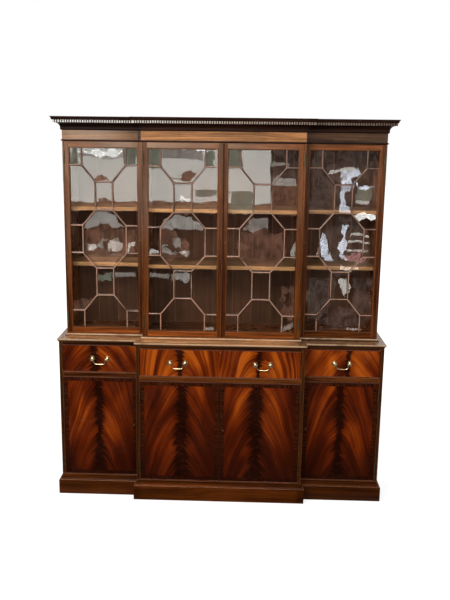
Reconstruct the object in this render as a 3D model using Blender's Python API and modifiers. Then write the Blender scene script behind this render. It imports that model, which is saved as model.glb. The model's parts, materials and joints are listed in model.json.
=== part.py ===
"""A breakfront bookcase: a base of drawers over flame-veneered cupboard doors,
and a glazed top whose centre, like the base's, stands forward of its wings.

Units are metres. X runs left to right, the front faces -Y, and Z is up from the floor.
The origin is on the floor, under the middle of the whole.
"""

import math
from collections import namedtuple

import bmesh
import bpy
from mathutils import Vector

# Clearances
SEAT_GAP = 0.0003
DOOR_GAP = 0.002
DRAWER_SIDE_GAP = 0.0015
REBATE_CLEAR = 0.001
OVERRUN = 0.003
WELD = 0.00001

# The stepped plan of the base and of the top
LOWER_WIDTH = 1.800
LOWER_CENTRE_WIDTH = 0.926
LOWER_DEPTH = 0.380
UPPER_SIDE_SETBACK = 0.032
UPPER_CENTRE_SETBACK = 0.027
UPPER_WIDTH = LOWER_WIDTH - 2 * UPPER_SIDE_SETBACK
UPPER_CENTRE_WIDTH = LOWER_CENTRE_WIDTH - 2 * UPPER_CENTRE_SETBACK
UPPER_SETBACK = 0.080
BREAK = 0.055

# Boards
SIDE_THICKNESS = 0.018
BACK_THICKNESS = 0.006
LOWER_BOARD = 0.014
UPPER_BOARD = 0.018
TOP_BOARD = 0.018

# Plinth
PLINTH_HEIGHT = 0.100
PLINTH_FACE_HEIGHT = 0.080
PLINTH_PROJECTION = 0.018
PLINTH_WALL = 0.026
PLINTH_FILLET = 0.003
PLINTH_TOP_PROJECTION = 0.004
PLINTH_STEP = 0.010

# Base fronts
LOWER_DOOR_HEIGHT = 0.582
DRAWER_RAIL = 0.026
DRAWER_HEIGHT = 0.155
TOP_RAIL = 0.016
RAIL_DEPTH = 0.020
DUST_BOARD = 0.008
DOOR_THICKNESS = 0.020
BEAD_WIDTH = 0.003
BEAD_PROUD = 0.0015

# Drawer boxes
BOX_SIDE = 0.010
BOX_BOTTOM = 0.006
BOX_HEIGHT = 0.130
BOX_BACK_ROOM = 0.012

# Waist board and the foot moulding on it
WAIST_THICKNESS = 0.016
WAIST_PROJECTION = 0.009
WAIST_NOSE = 0.009
WAIST_HOLLOW_SHARE = 0.67
WAIST_ROUND = 0.002
FOOT_HEIGHT = 0.014
FOOT_PROJECTION = 0.010
FOOT_FLAT = 0.003

# Glazed doors
UPPER_DOOR_HEIGHT = 1.0525
DOOR_LIP = 0.008
STILE = 0.028
GLAZED_RAIL = 0.034
GLASS_REBATE = 0.006
SIGHT_DEPTH = 0.010
SIGHT_CHAMFER = 0.004
SIGHT_CHAMFER_DEPTH = 0.003
GLASS_THICKNESS = 0.004
BAR_WIDTH = 0.010
BAR_THICKNESS = 0.008
BAR_BORDER = 0.004

# Where the glazing bars cross, as shares of the glass's width and height
OCTAGON_SIDE_SHARE = 0.172
RECTANGLE_SIDE_SHARE = 0.370
LEVEL_SHARES = (0.107, 0.190, 0.342, 0.425, 0.575, 0.658, 0.810, 0.893)

# Shelves in the top
SHELF_TOPS = (1.328, 1.637)
SHELF_THICKNESS = 0.020
SHELF_SETBACK = 0.030
GROOVE_DEPTH = 0.004

# Cornice, from its bottom bead up
CORNICE_WALL = 0.026
CORNICE_BEAD = 0.009
CORNICE_BEAD_PROJECTION = 0.006
FRIEZE = 0.048
NECK_PROJECTION = 0.007
NECK_HEIGHT = 0.013
CAVETTO_HEIGHT = 0.026
CAVETTO_PROJECTION = 0.034
DENTIL_HEIGHT = 0.014
DENTIL_BACKING = 0.008
DENTIL_DEPTH = 0.008
DENTIL_PITCH = 0.0129
CYMA_HEIGHT = 0.014
CORNICE_FILLET = 0.004
CORNICE_PROJECTION = 0.052
DENTIL_WIDTH_SHARE = 0.5

# Butt hinges
HINGE_LENGTH = 0.072
HINGE_INSET = 0.046
KNUCKLE_RADIUS = 0.0035
LEAF_REACH = 0.003
LEAF_BED = 0.001
KNUCKLE_SIDES = 8

# Swan-neck handles
HANDLE_CENTRES = 0.084
CENTRE_HANDLE_X = 0.234
ROSETTE_RADIUS = 0.015
ROSETTE_RIM = 0.0022
ROSETTE_DISH = 0.0012
ROSETTE_BOSS = 0.004
BOSS_RADIUS = 0.0065
STEM_RADIUS = 0.0032
POST_REACH = 0.0125
POST_BALL = 0.005
BORE_RADIUS = 0.0020
POST_SIDES = 12
BAIL_WIRE = 0.0022
BAIL_DROP = 0.0355
BAIL_PIN_PAST = 0.004
BAIL_NECK = 0.009

# The bail from its pin to its middle: how far on from the neck towards the middle, how far down,
# and how thick, as shares of the neck's distance from the middle, of the drop and of the wire
BAIL_SHARES = (
    (-0.076, 0.00, 0.70),
    (-0.014, 0.05, 0.85),
    (0.000, 0.25, 0.95),
    (0.016, 0.50, 1.00),
    (0.106, 0.77, 1.00),
    (0.288, 0.94, 1.05),
    (0.530, 0.99, 1.15),
    (0.765, 1.00, 1.35),
    (1.000, 1.00, 1.50),
)

Plan = namedtuple("Plan", "half centre front back")
Door = namedtuple("Door", "name low high bottom top face hung")


# Levels, each from the one below it
LOWER_FLOOR = PLINTH_HEIGHT + SEAT_GAP
LOWER_FLOOR_TOP = LOWER_FLOOR + LOWER_BOARD
LOWER_DOOR_BOTTOM = LOWER_FLOOR_TOP + DOOR_GAP
LOWER_DOOR_TOP = LOWER_DOOR_BOTTOM + LOWER_DOOR_HEIGHT
RAIL_BOTTOM = LOWER_DOOR_TOP + DOOR_GAP
RAIL_TOP = RAIL_BOTTOM + DRAWER_RAIL
DRAWER_BOTTOM = RAIL_TOP + DOOR_GAP
DRAWER_TOP = DRAWER_BOTTOM + DRAWER_HEIGHT
TOP_RAIL_BOTTOM = DRAWER_TOP + DOOR_GAP
WAIST_BOTTOM = TOP_RAIL_BOTTOM + TOP_RAIL
WAIST_TOP = WAIST_BOTTOM + WAIST_THICKNESS
UPPER_FLOOR = WAIST_TOP + SEAT_GAP
UPPER_FLOOR_TOP = UPPER_FLOOR + UPPER_BOARD
UPPER_DOOR_BOTTOM = UPPER_FLOOR_TOP + DOOR_GAP
UPPER_DOOR_TOP = UPPER_DOOR_BOTTOM + UPPER_DOOR_HEIGHT
CORNICE_BOTTOM = UPPER_DOOR_TOP + DOOR_GAP
UPPER_TOP = CORNICE_BOTTOM - SEAT_GAP
TOP_BOARD_BOTTOM = UPPER_TOP - TOP_BOARD

# Places front to back: the wings' front, with the whole depth centred on the origin
HANDLE_PROUD = POST_REACH + POST_BALL - BEAD_PROUD
FRONT_PROUD = max(PLINTH_PROJECTION, HANDLE_PROUD)
WING_FRONT = BREAK + FRONT_PROUD - (LOWER_DEPTH + BREAK + FRONT_PROUD) / 2
BACK = WING_FRONT + LOWER_DEPTH
INSIDE_BACK = BACK - BACK_THICKNESS - SEAT_GAP
DOOR_REBATE = DOOR_THICKNESS + REBATE_CLEAR

LOWER = Plan(LOWER_WIDTH / 2, LOWER_CENTRE_WIDTH / 2, WING_FRONT, BACK)
UPPER = Plan(UPPER_WIDTH / 2, UPPER_CENTRE_WIDTH / 2, WING_FRONT + UPPER_SETBACK, BACK)
LEFT, RIGHT = -1, 1
SIDE_NAMES = {LEFT: "left", RIGHT: "right"}


def clear_scene():
    for obj in list(bpy.data.objects):
        bpy.data.objects.remove(obj, do_unlink=True)


def new_collection(name):
    collection = bpy.data.collections.new(name)
    bpy.context.scene.collection.children.link(collection)
    return collection


def finish(name, colour, roughness, metallic=0.0, alpha=1.0):
    material = bpy.data.materials.new(name)
    material.use_nodes = True
    shader = material.node_tree.nodes["Principled BSDF"]
    shader.inputs["Base Color"].default_value = (*colour, 1.0)
    shader.inputs["Roughness"].default_value = roughness
    shader.inputs["Metallic"].default_value = metallic
    shader.inputs["Alpha"].default_value = alpha
    return material


clear_scene()
PARTS = new_collection("breakfront_bookcase")
TOOLS = new_collection("cutters")
FINISHES = {
    "mahogany": finish("mahogany", (0.200, 0.062, 0.022), 0.25),
    "flame_veneer": finish("flame_veneer", (0.300, 0.085, 0.016), 0.20),
    "plinth_brown": finish("plinth_brown", (0.070, 0.022, 0.006), 0.30),
    "pale_wood": finish("pale_wood", (0.450, 0.240, 0.100), 0.55),
    "backboard": finish("backboard", (0.110, 0.055, 0.030), 0.70),
    "brass": finish("brass", (0.720, 0.540, 0.290), 0.25, metallic=1.0),
    "glass": finish("glass", (0.850, 0.880, 0.860), 0.05, alpha=0.3),
}


def add_object(name, data, material, collection=PARTS):
    """An object of its own for a mesh or a curve, with its finish."""
    obj = bpy.data.objects.new(name, data)
    if not data.materials:
        data.materials.append(FINISHES[material])
    collection.objects.link(obj)
    return obj


def mesh_of(name, bm):
    bmesh.ops.recalc_face_normals(bm, faces=bm.faces)
    mesh = bpy.data.meshes.new(name)
    bm.to_mesh(mesh)
    bm.free()
    return mesh


def board(name, low, high, material, collection=PARTS):
    """A rectangular board between two corners."""
    low, high = Vector(low), Vector(high)
    bm = bmesh.new()
    bmesh.ops.create_cube(bm, size=1)
    bmesh.ops.scale(bm, vec=high - low, verts=bm.verts)
    obj = add_object(name, mesh_of(name, bm), material, collection)
    obj.location = (low + high) / 2
    return obj


def evaluated_mesh(obj):
    """The object's shape with its modifiers, as a welded mesh."""
    bpy.context.view_layer.update()
    graph = bpy.context.evaluated_depsgraph_get()
    mesh = bpy.data.meshes.new_from_object(obj.evaluated_get(graph))
    bm = bmesh.new()
    bm.from_mesh(mesh)
    bmesh.ops.remove_doubles(bm, verts=bm.verts, dist=WELD)
    bmesh.ops.recalc_face_normals(bm, faces=bm.faces)
    bm.to_mesh(mesh)
    bm.free()
    return mesh


def flat_solid(name, outlines, thickness, material, collection=PARTS):
    """A flat outline, with any holes, in the XY plane and as thick as told, half of it each way along Z."""
    curve = bpy.data.curves.new(name, "CURVE")
    curve.dimensions = "2D"
    curve.fill_mode = "BOTH"
    curve.extrude = thickness / 2
    for outline in outlines:
        spline = curve.splines.new("POLY")
        spline.points.add(len(outline) - 1)
        for point, (x, y) in zip(spline.points, outline):
            point.co = (x, y, 0, 1)
        spline.use_cyclic_u = True
    drawn = add_object(name + "_outline", curve, material, collection)
    mesh = evaluated_mesh(drawn)
    bpy.data.objects.remove(drawn, do_unlink=True)
    return add_object(name, mesh, material, collection)


def loft(name, rings, capped, material, collection=PARTS):
    """Closed rings of points joined in order, capped at the ends or led back to the first.

    Where the closing side of each ring lies in one plane at the back, its faces are made as one.
    """
    bm = bmesh.new()
    rows = [[bm.verts.new(point) for point in ring] for ring in rings]
    followers = rows[1:] if capped else rows[1:] + rows[:1]
    for row, follower in zip(rows, followers):
        for i in range(len(row)):
            j = (i + 1) % len(row)
            corners_of_face = (row[i], row[j], follower[j], follower[i])
            if j == 0 and all(abs(corner.co.y - BACK) < WELD for corner in corners_of_face):
                continue
            bm.faces.new(corners_of_face)
    if capped:
        bm.faces.new(rows[0])
        bm.faces.new(rows[-1])
    open_edges = [edge for edge in bm.edges if edge.is_boundary]
    bmesh.ops.holes_fill(bm, edges=open_edges, sides=0)
    return add_object(name, mesh_of(name, bm), material, collection)


def combine(target, tool, operation):
    """Cuts the tool away from the target, or joins it on. The tool stays as a hidden guide."""
    if tool.name not in TOOLS.objects:
        PARTS.objects.unlink(tool)
        TOOLS.objects.link(tool)
    tool.hide_render = True
    tool.display_type = "WIRE"
    change = target.modifiers.new(f"{operation.lower()}_{tool.name}", "BOOLEAN")
    change.operation = operation
    change.solver = "EXACT"
    change.object = tool


def cut(target, tool):
    combine(target, tool, "DIFFERENCE")


def join(target, tool):
    combine(target, tool, "UNION")


def hang(name, place, pieces):
    """Puts an empty on a joint's axis and parents the moving pieces to it."""
    axis = bpy.data.objects.new(name, None)
    axis.location = place
    PARTS.objects.link(axis)
    for piece in pieces:
        piece.location = piece.location - Vector(place)
        piece.parent = axis
    return axis


def corners(plan, out=0.0):
    """The corners of a stepped plan, moved out from the front and sides. Moved in, the back moves too."""
    back = plan.back + min(out, 0)
    half, centre = plan.half + out, plan.centre + out
    wing, middle = plan.front - out, plan.front - BREAK - out
    left = [(-half, back), (-half, wing), (-centre, wing), (-centre, middle)]
    return left + [(-x, y) for x, y in reversed(left)]


def arc(centre, radii, start, end, steps):
    """Points on a quarter or more of an ellipse, as pairs of projection and height."""
    angles = [math.radians(start + (end - start) * i / steps) for i in range(steps + 1)]
    return [(centre[0] + radii[0] * math.cos(a), centre[1] + radii[1] * math.sin(a)) for a in angles]


def plan_rings(plan, profile):
    """One ring of the stepped plan for each point of a moulding's profile of projection and height."""
    return [[(x, y, z) for x, y in corners(plan, out)] for out, z in profile]


def run_rings(plan, profile):
    """A moulding's profile at each corner of the stepped plan, for a run that is open at the back."""
    return [list(ring) for ring in zip(*plan_rings(plan, profile))]


def stepped_board(name, plan, bottom, top, material):
    obj = flat_solid(name, [corners(plan)], top - bottom, material)
    obj.location.z = (bottom + top) / 2
    return obj


def make_plinth():
    """A frame of boards under the base, with a rounded step and a small hollow as its moulded top."""
    shoulder = PLINTH_PROJECTION - PLINTH_STEP / 2
    step_top = PLINTH_FACE_HEIGHT + PLINTH_STEP / 2
    hollow = (shoulder - PLINTH_TOP_PROJECTION - PLINTH_FILLET, PLINTH_HEIGHT - PLINTH_FILLET - step_top)
    profile = [(PLINTH_PROJECTION, 0)]
    profile += arc((shoulder, PLINTH_FACE_HEIGHT), (PLINTH_STEP / 2, PLINTH_STEP / 2), 0, 90, 3)
    profile += arc((shoulder - PLINTH_FILLET, step_top + hollow[1]), hollow, 270, 180, 3)
    profile += [(PLINTH_TOP_PROJECTION, PLINTH_HEIGHT)]
    inside = PLINTH_PROJECTION - PLINTH_WALL
    profile += [(inside, PLINTH_HEIGHT), (inside, 0)]
    loft("plinth", plan_rings(LOWER, profile), False, "plinth_brown")


def door_list():
    """Every door: its name, its extent, the plane of its face and the side that it hangs on."""
    doors = []
    lower_inner = LOWER.half - SIDE_THICKNESS
    lower_centre = LOWER.centre - SIDE_THICKNESS
    heights = (LOWER_DOOR_BOTTOM, LOWER_DOOR_TOP)
    wing = (lower_inner - DOOR_GAP, LOWER.centre + DOOR_GAP)
    middle = (lower_centre - DOOR_GAP, DOOR_GAP / 2)
    for side, word in SIDE_NAMES.items():
        for place, (outer, inner), face in (
            ("wing", wing, LOWER.front),
            ("centre", middle, LOWER.front - BREAK),
        ):
            low, high = sorted((side * outer, side * inner))
            doors.append(Door(f"lower_{place}_{word}", low, high, *heights, face, side))
    heights = (UPPER_DOOR_BOTTOM, UPPER_DOOR_TOP)
    wing = (UPPER.half - DOOR_LIP - DOOR_GAP, UPPER.centre + DOOR_GAP)
    middle = (UPPER.centre - DOOR_LIP - DOOR_GAP, DOOR_GAP / 2)
    for side, word in SIDE_NAMES.items():
        for place, (outer, inner), face in (
            ("wing", wing, UPPER.front),
            ("centre", middle, UPPER.front - BREAK),
        ):
            low, high = sorted((side * outer, side * inner))
            doors.append(Door(f"upper_{place}_{word}", low, high, *heights, face, side))
    return doors


DOORS = door_list()


def hinge_axis(door):
    """Where a door's hinge axis stands: over the gap beside its hung edge, proud of its face."""
    edge = door.low if door.hung == LEFT else door.high
    return (edge + door.hung * DOOR_GAP / 2, door.face - KNUCKLE_RADIUS - SEAT_GAP)


def knuckle_outline(toward):
    """A knuckle seen from above, round its axis, with the leaf that beds into the wood beside it."""
    bed = KNUCKLE_RADIUS + SEAT_GAP + LEAF_BED
    meet = math.degrees(math.acos(LEAF_REACH / KNUCKLE_RADIUS))
    radii = (KNUCKLE_RADIUS, KNUCKLE_RADIUS)
    outline = arc((0, 0), radii, meet, -270, KNUCKLE_SIDES)
    outline += [(0, bed), (LEAF_REACH, bed)]
    return [(toward * x, y) for x, y in outline]


def knuckles(door, toward, part):
    """The halves of a door's two hinges that belong to the door or to the case, as joining tools."""
    x, y = hinge_axis(door)
    half = (HINGE_LENGTH - SEAT_GAP) / 2
    made = []
    ends = {"bottom": door.bottom + HINGE_INSET, "top": door.top - HINGE_INSET - HINGE_LENGTH}
    for end, bottom in ends.items():
        name = f"{door.name}_{end}_{part}_knuckle"
        tool = flat_solid(name, [knuckle_outline(toward)], half, "brass", TOOLS)
        lift = half / 2 if part == "case" else HINGE_LENGTH - half / 2
        tool.location = (x, y, bottom + lift)
        made.append(tool)
    return made


def hang_on(case, door_name):
    """Joins the case's halves of one door's hinges to the side or partition that carries it."""
    door = next(door for door in DOORS if door.name == door_name)
    for tool in knuckles(door, door.hung, "case"):
        join(case, tool)


def make_lower_case():
    stepped_board("lower_bottom_board", LOWER, LOWER_FLOOR, LOWER_FLOOR_TOP, "mahogany")
    bottom, top = LOWER_FLOOR_TOP + SEAT_GAP, WAIST_BOTTOM - SEAT_GAP
    for side, word in SIDE_NAMES.items():
        low, high = sorted((side * LOWER.half, side * (LOWER.half - SIDE_THICKNESS)))
        panel = board(f"lower_{word}_side", (low, LOWER.front, bottom), (high, BACK, top), "mahogany")
        hang_on(panel, f"lower_wing_{word}")
        low, high = sorted((side * LOWER.centre, side * (LOWER.centre - SIDE_THICKNESS)))
        start, end = (low, LOWER.front - BREAK, bottom), (high, INSIDE_BACK, top)
        partition = board(f"lower_{word}_partition", start, end, "mahogany")
        hang_on(partition, f"lower_centre_{word}")
    reach = LOWER.half - SIDE_THICKNESS - SEAT_GAP
    board("lower_back_panel", (-reach, BACK - BACK_THICKNESS, bottom), (reach, BACK, top), "backboard")


def lower_bays():
    """The three bays of the base: name, clear width between its sides, and the plane of its front."""
    inner, middle = LOWER.half - SIDE_THICKNESS, LOWER.centre - SIDE_THICKNESS
    return [
        ("left", -inner, -LOWER.centre, LOWER.front),
        ("centre", -middle, middle, LOWER.front - BREAK),
        ("right", LOWER.centre, inner, LOWER.front),
    ]


def make_drawer_rails():
    """A front rail in each bay, with the dust board behind it that the drawer runs on."""
    behind = RAIL_TOP - DUST_BOARD
    for name, low, high, front in lower_bays():
        length = high - low - 2 * SEAT_GAP
        outline = [
            (front, RAIL_BOTTOM),
            (front + RAIL_DEPTH, RAIL_BOTTOM),
            (front + RAIL_DEPTH, behind),
            (INSIDE_BACK, behind),
            (INSIDE_BACK, RAIL_TOP),
            (front, RAIL_TOP),
        ]
        rail = flat_solid(f"{name}_drawer_rail", [outline], length, "mahogany")
        rail.rotation_euler = (math.pi / 2, 0, math.pi / 2)
        rail.location.x = (low + high) / 2


def beaded_front(name, low, high, material):
    """A veneered front whose field lies back from the narrow bead that is round its edge."""
    obj = board(name, low, high, material)
    bm = bmesh.new()
    bm.from_mesh(obj.data)
    bm.faces.ensure_lookup_table()
    front = [face for face in bm.faces if face.normal.y < -0.5]
    bmesh.ops.inset_region(bm, faces=front, thickness=BEAD_WIDTH)
    field = bmesh.ops.extrude_face_region(bm, geom=front)["geom"]
    bmesh.ops.delete(bm, geom=front, context="FACES_ONLY")
    moved = [item for item in field if isinstance(item, bmesh.types.BMVert)]
    bmesh.ops.translate(bm, verts=moved, vec=(0, BEAD_PROUD, 0))
    bmesh.ops.recalc_face_normals(bm, faces=bm.faces)
    bm.to_mesh(obj.data)
    bm.free()
    return obj


def hang_door(door, pieces):
    """Joins the door's own hinge knuckles to its first piece, and hangs all its pieces on the hinge axis."""
    for tool in knuckles(door, -door.hung, "door"):
        join(pieces[0], tool)
        pieces.append(tool)
    hang(f"{door.name}_hinge_axis", (*hinge_axis(door), door.bottom), pieces)


def make_lower_doors():
    for door in DOORS[:4]:
        low = (door.low, door.face, door.bottom)
        high = (door.high, door.face + DOOR_THICKNESS, door.top)
        hang_door(door, [beaded_front(f"{door.name}_door", low, high, "flame_veneer")])


def drawer_box(name, low, high):
    """An open box of four sides and a bottom, drawn as one hollowed block."""
    box = board(name, low, high, "pale_wood")
    inside_low = (low[0] + BOX_SIDE, low[1] + BOX_SIDE, low[2] + BOX_BOTTOM)
    inside_high = (high[0] - BOX_SIDE, high[1] - BOX_SIDE, high[2] + OVERRUN)
    hollow = board(f"{name}_hollow", inside_low, inside_high, "pale_wood", TOOLS)
    cut(box, hollow)
    return box, hollow


def handle_places(name, low, high):
    if name == "centre":
        return {"centre_left": -CENTRE_HANDLE_X, "centre_right": CENTRE_HANDLE_X}
    return {name: (low + high) / 2}


def post_profile():
    """Half of a handle post from the tip of its ball to the middle of its rosette, as radius and reach."""
    ball = arc((0, POST_REACH), (POST_BALL, POST_BALL), 90, -50, 5)
    return ball + [
        (STEM_RADIUS, ROSETTE_BOSS),
        (BOSS_RADIUS, ROSETTE_DISH),
        (ROSETTE_RADIUS - ROSETTE_RIM, ROSETTE_DISH),
        (ROSETTE_RADIUS - ROSETTE_RIM / 2, ROSETTE_RIM),
        (ROSETTE_RADIUS, ROSETTE_DISH),
        (ROSETTE_RADIUS, 0),
        (0, 0),
    ]


def post_mesh():
    """A turned post, cross-drilled through its ball for the bail's pin."""
    bm = bmesh.new()
    line = [bm.verts.new((radius, 0, reach)) for radius, reach in post_profile()]
    for start, end in zip(line, line[1:]):
        bm.edges.new((start, end))
    mesh = bpy.data.meshes.new("handle_post")
    bm.to_mesh(mesh)
    bm.free()
    turned = add_object("post_pattern", mesh, "brass")
    spin = turned.modifiers.new("turn", "SCREW")
    spin.steps = spin.render_steps = POST_SIDES
    spin.use_merge_vertices = True
    spin.merge_threshold = WELD
    bm = bmesh.new()
    length = POST_BALL * 2 + OVERRUN
    bmesh.ops.create_cone(
        bm, cap_ends=True, segments=KNUCKLE_SIDES, radius1=BORE_RADIUS, radius2=BORE_RADIUS, depth=length
    )
    bore = add_object("post_bore", mesh_of("post_bore", bm), "brass", TOOLS)
    bore.rotation_euler = (0, math.pi / 2, 0)
    bore.location.z = POST_REACH
    cut(turned, bore)
    finished = evaluated_mesh(turned)
    for used in (turned, bore):
        bpy.data.objects.remove(used, do_unlink=True)
    return finished


def bail_curve():
    """The bail's wire: a pin in each post, a curved neck, and a grip that swells to its middle."""
    pin = HANDLE_CENTRES / 2
    neck = pin - BAIL_NECK
    pin_share = BAIL_SHARES[0][2]
    half = [(pin + BAIL_PIN_PAST, 0, pin_share)]
    half += [(neck - neck * on, -BAIL_DROP * down, thick) for on, down, thick in BAIL_SHARES]
    points = half + [(-x, z, thick) for x, z, thick in reversed(half[:-1])]
    curve = bpy.data.curves.new("bail", "CURVE")
    curve.dimensions = "3D"
    curve.bevel_depth = BAIL_WIRE
    curve.bevel_resolution = 2
    curve.use_fill_caps = True
    spline = curve.splines.new("POLY")
    spline.points.add(len(points) - 1)
    for point, (x, z, thick) in zip(spline.points, points):
        point.co = (x, 0, z, 1)
        point.radius = thick
    return curve


def make_drawers():
    post, bail = post_mesh(), bail_curve()
    handle_z = (DRAWER_BOTTOM + DRAWER_TOP) / 2
    for name, low, high, front in lower_bays():
        panel = beaded_front(
            f"{name}_drawer_front",
            (low + DOOR_GAP, front, DRAWER_BOTTOM),
            (high - DOOR_GAP, front + DOOR_THICKNESS, DRAWER_TOP),
            "flame_veneer",
        )
        box, hollow = drawer_box(
            f"{name}_drawer_box",
            (low + DRAWER_SIDE_GAP, front + DOOR_THICKNESS + SEAT_GAP, RAIL_TOP + SEAT_GAP),
            (high - DRAWER_SIDE_GAP, INSIDE_BACK - BOX_BACK_ROOM, RAIL_TOP + SEAT_GAP + BOX_HEIGHT),
        )
        field = front + BEAD_PROUD
        moving = [panel, box, hollow]
        bails = []
        for place, x in handle_places(name, low, high).items():
            for side, word in SIDE_NAMES.items():
                knob = add_object(f"{place}_handle_{word}_post", post, "brass")
                knob.rotation_euler = (math.pi / 2, 0, 0)
                knob.location = (x + side * HANDLE_CENTRES / 2, field - SEAT_GAP, handle_z)
                moving.append(knob)
            wire = add_object(f"{place}_handle_bail", bail, "brass")
            wire.location = (x, field - SEAT_GAP - POST_REACH, handle_z)
            bails.append(wire)
        hang(f"{name}_drawer_axis", ((low + high) / 2, front, handle_z), moving + bails)


def make_waist():
    """The moulded board on the base, its three front rails, and the moulding round the foot of the top."""
    nose = WAIST_TOP - WAIST_NOSE
    hollow = WAIST_PROJECTION * WAIST_HOLLOW_SHARE
    profile = [(0, WAIST_BOTTOM)]
    profile += arc((hollow, WAIST_BOTTOM), (hollow / 2, nose - WAIST_BOTTOM), 180, 90, 3)
    profile += [
        (WAIST_PROJECTION, nose),
        (WAIST_PROJECTION, WAIST_TOP - WAIST_ROUND),
        (WAIST_PROJECTION - WAIST_ROUND, WAIST_TOP),
    ]
    waist = loft("waist_board", plan_rings(LOWER, profile), True, "mahogany")
    inside = SEAT_GAP
    base = WAIST_TOP - WAIST_ROUND
    top = WAIST_TOP + FOOT_HEIGHT
    round_start = WAIST_TOP + FOOT_FLAT
    profile = [(inside, base), (FOOT_PROJECTION, base)]
    profile += arc((inside, round_start), (FOOT_PROJECTION - inside, top - round_start), 0, 78, 4)
    profile += [(inside, top)]
    foot = loft("foot_moulding", run_rings(UPPER, profile), True, "mahogany")
    join(waist, foot)
    for name, low, high, front in lower_bays():
        rail = board(
            f"{name}_top_rail",
            (low + SEAT_GAP, front, TOP_RAIL_BOTTOM),
            (high - SEAT_GAP, front + RAIL_DEPTH, WAIST_TOP - WAIST_ROUND),
            "mahogany",
        )
        join(waist, rail)


def upright_outline(outer, front, back, side):
    """A side or partition of the top seen from above, rebated at the front for the door that shuts on it."""
    inward = -side
    lip, inner = outer + inward * DOOR_LIP, outer + inward * SIDE_THICKNESS
    rebate = front + DOOR_REBATE
    return [(outer, front), (lip, front), (lip, rebate), (inner, rebate), (inner, back), (outer, back)]


def make_shelves():
    """Two shelves in each bay, and the grown copies that cut their grooves."""
    front = UPPER.front + DOOR_REBATE + SHELF_SETBACK
    inner, middle = UPPER.half - SIDE_THICKNESS, UPPER.centre - SIDE_THICKNESS
    bays = [
        ("left", -inner, -UPPER.centre, front),
        ("centre", -middle, middle, front - BREAK),
        ("right", UPPER.centre, inner, front),
    ]
    grooves = []
    for level, top in zip(("lower", "upper"), SHELF_TOPS):
        for name, low, high, face in bays:
            start = (low - GROOVE_DEPTH, face, top - SHELF_THICKNESS)
            end = (high + GROOVE_DEPTH, INSIDE_BACK, top)
            clear = Vector((SEAT_GAP, SEAT_GAP, SEAT_GAP))
            board(f"{name}_{level}_shelf", Vector(start) + clear, Vector(end) - clear, "pale_wood")
            grooves.append((name, board(f"{name}_{level}_groove", start, end, "pale_wood", TOOLS)))
    return grooves


def make_upper_case():
    stepped_board("upper_bottom_board", UPPER, UPPER_FLOOR, UPPER_FLOOR_TOP, "mahogany")
    bottom = UPPER_FLOOR_TOP + SEAT_GAP
    inner = UPPER.half - SIDE_THICKNESS - SEAT_GAP
    covered = Plan(inner, UPPER.centre, UPPER.front + DOOR_REBATE + SEAT_GAP, INSIDE_BACK - SEAT_GAP)
    stepped_board("upper_top_board", covered, TOP_BOARD_BOTTOM, UPPER_TOP, "mahogany")
    board("upper_back_panel", (-inner, BACK - BACK_THICKNESS, bottom), (inner, BACK, UPPER_TOP), "backboard")
    past = UPPER.centre + OVERRUN
    low = (-past, UPPER.front - BREAK + DOOR_REBATE - SEAT_GAP, TOP_BOARD_BOTTOM - SEAT_GAP)
    high = (past, BACK, UPPER_TOP + OVERRUN)
    housing = board("top_board_housing", low, high, "mahogany", TOOLS)
    grooves = make_shelves()
    for side, word in SIDE_NAMES.items():
        outline = upright_outline(side * UPPER.half, UPPER.front, BACK, side)
        panel = flat_solid(f"upper_{word}_side", [outline], UPPER_TOP - bottom, "mahogany")
        panel.location.z = (bottom + UPPER_TOP) / 2
        hang_on(panel, f"upper_wing_{word}")
        outline = upright_outline(side * UPPER.centre, UPPER.front - BREAK, INSIDE_BACK, side)
        partition = flat_solid(f"upper_{word}_partition", [outline], UPPER_TOP - bottom, "mahogany")
        partition.location.z = (bottom + UPPER_TOP) / 2
        hang_on(partition, f"upper_centre_{word}")
        cut(partition, housing)
        for bay, groove in grooves:
            if bay == word:
                cut(panel, groove)
            if bay in (word, "centre"):
                cut(partition, groove)


def door_ring(door, inset, grow, depth):
    """A rectangle round a glazed door at one depth: its edge, or its sight line grown by a size."""
    across, up = (inset * STILE - grow, inset * GLAZED_RAIL - grow)
    low, high = door.low + across, door.high - across
    bottom, top = door.bottom + up, door.top - up
    y = door.face + depth
    return [(low, y, bottom), (high, y, bottom), (high, y, top), (low, y, top)]


def make_door_frame(door):
    """Stiles and rails with a chamfered sight edge, and a rebate behind it for the glass."""
    edge, sight = 0, 1
    rings = [
        door_ring(door, edge, 0, 0),
        door_ring(door, edge, 0, DOOR_THICKNESS),
        door_ring(door, sight, GLASS_REBATE, DOOR_THICKNESS),
        door_ring(door, sight, GLASS_REBATE, SIGHT_DEPTH),
        door_ring(door, sight, 0, SIGHT_DEPTH),
        door_ring(door, sight, 0, SIGHT_CHAMFER_DEPTH),
        door_ring(door, sight, SIGHT_CHAMFER, 0),
    ]
    return loft(f"{door.name}_door_frame", rings, False, "mahogany")


def make_glass(door):
    fit = GLASS_REBATE - SEAT_GAP
    across, up = STILE - fit, GLAZED_RAIL - fit
    front = door.face + SIGHT_DEPTH + SEAT_GAP
    return board(
        f"{door.name}_glass",
        (door.low + across, front, door.bottom + up),
        (door.high - across, front + GLASS_THICKNESS, door.top - up),
        "glass",
    )


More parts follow.
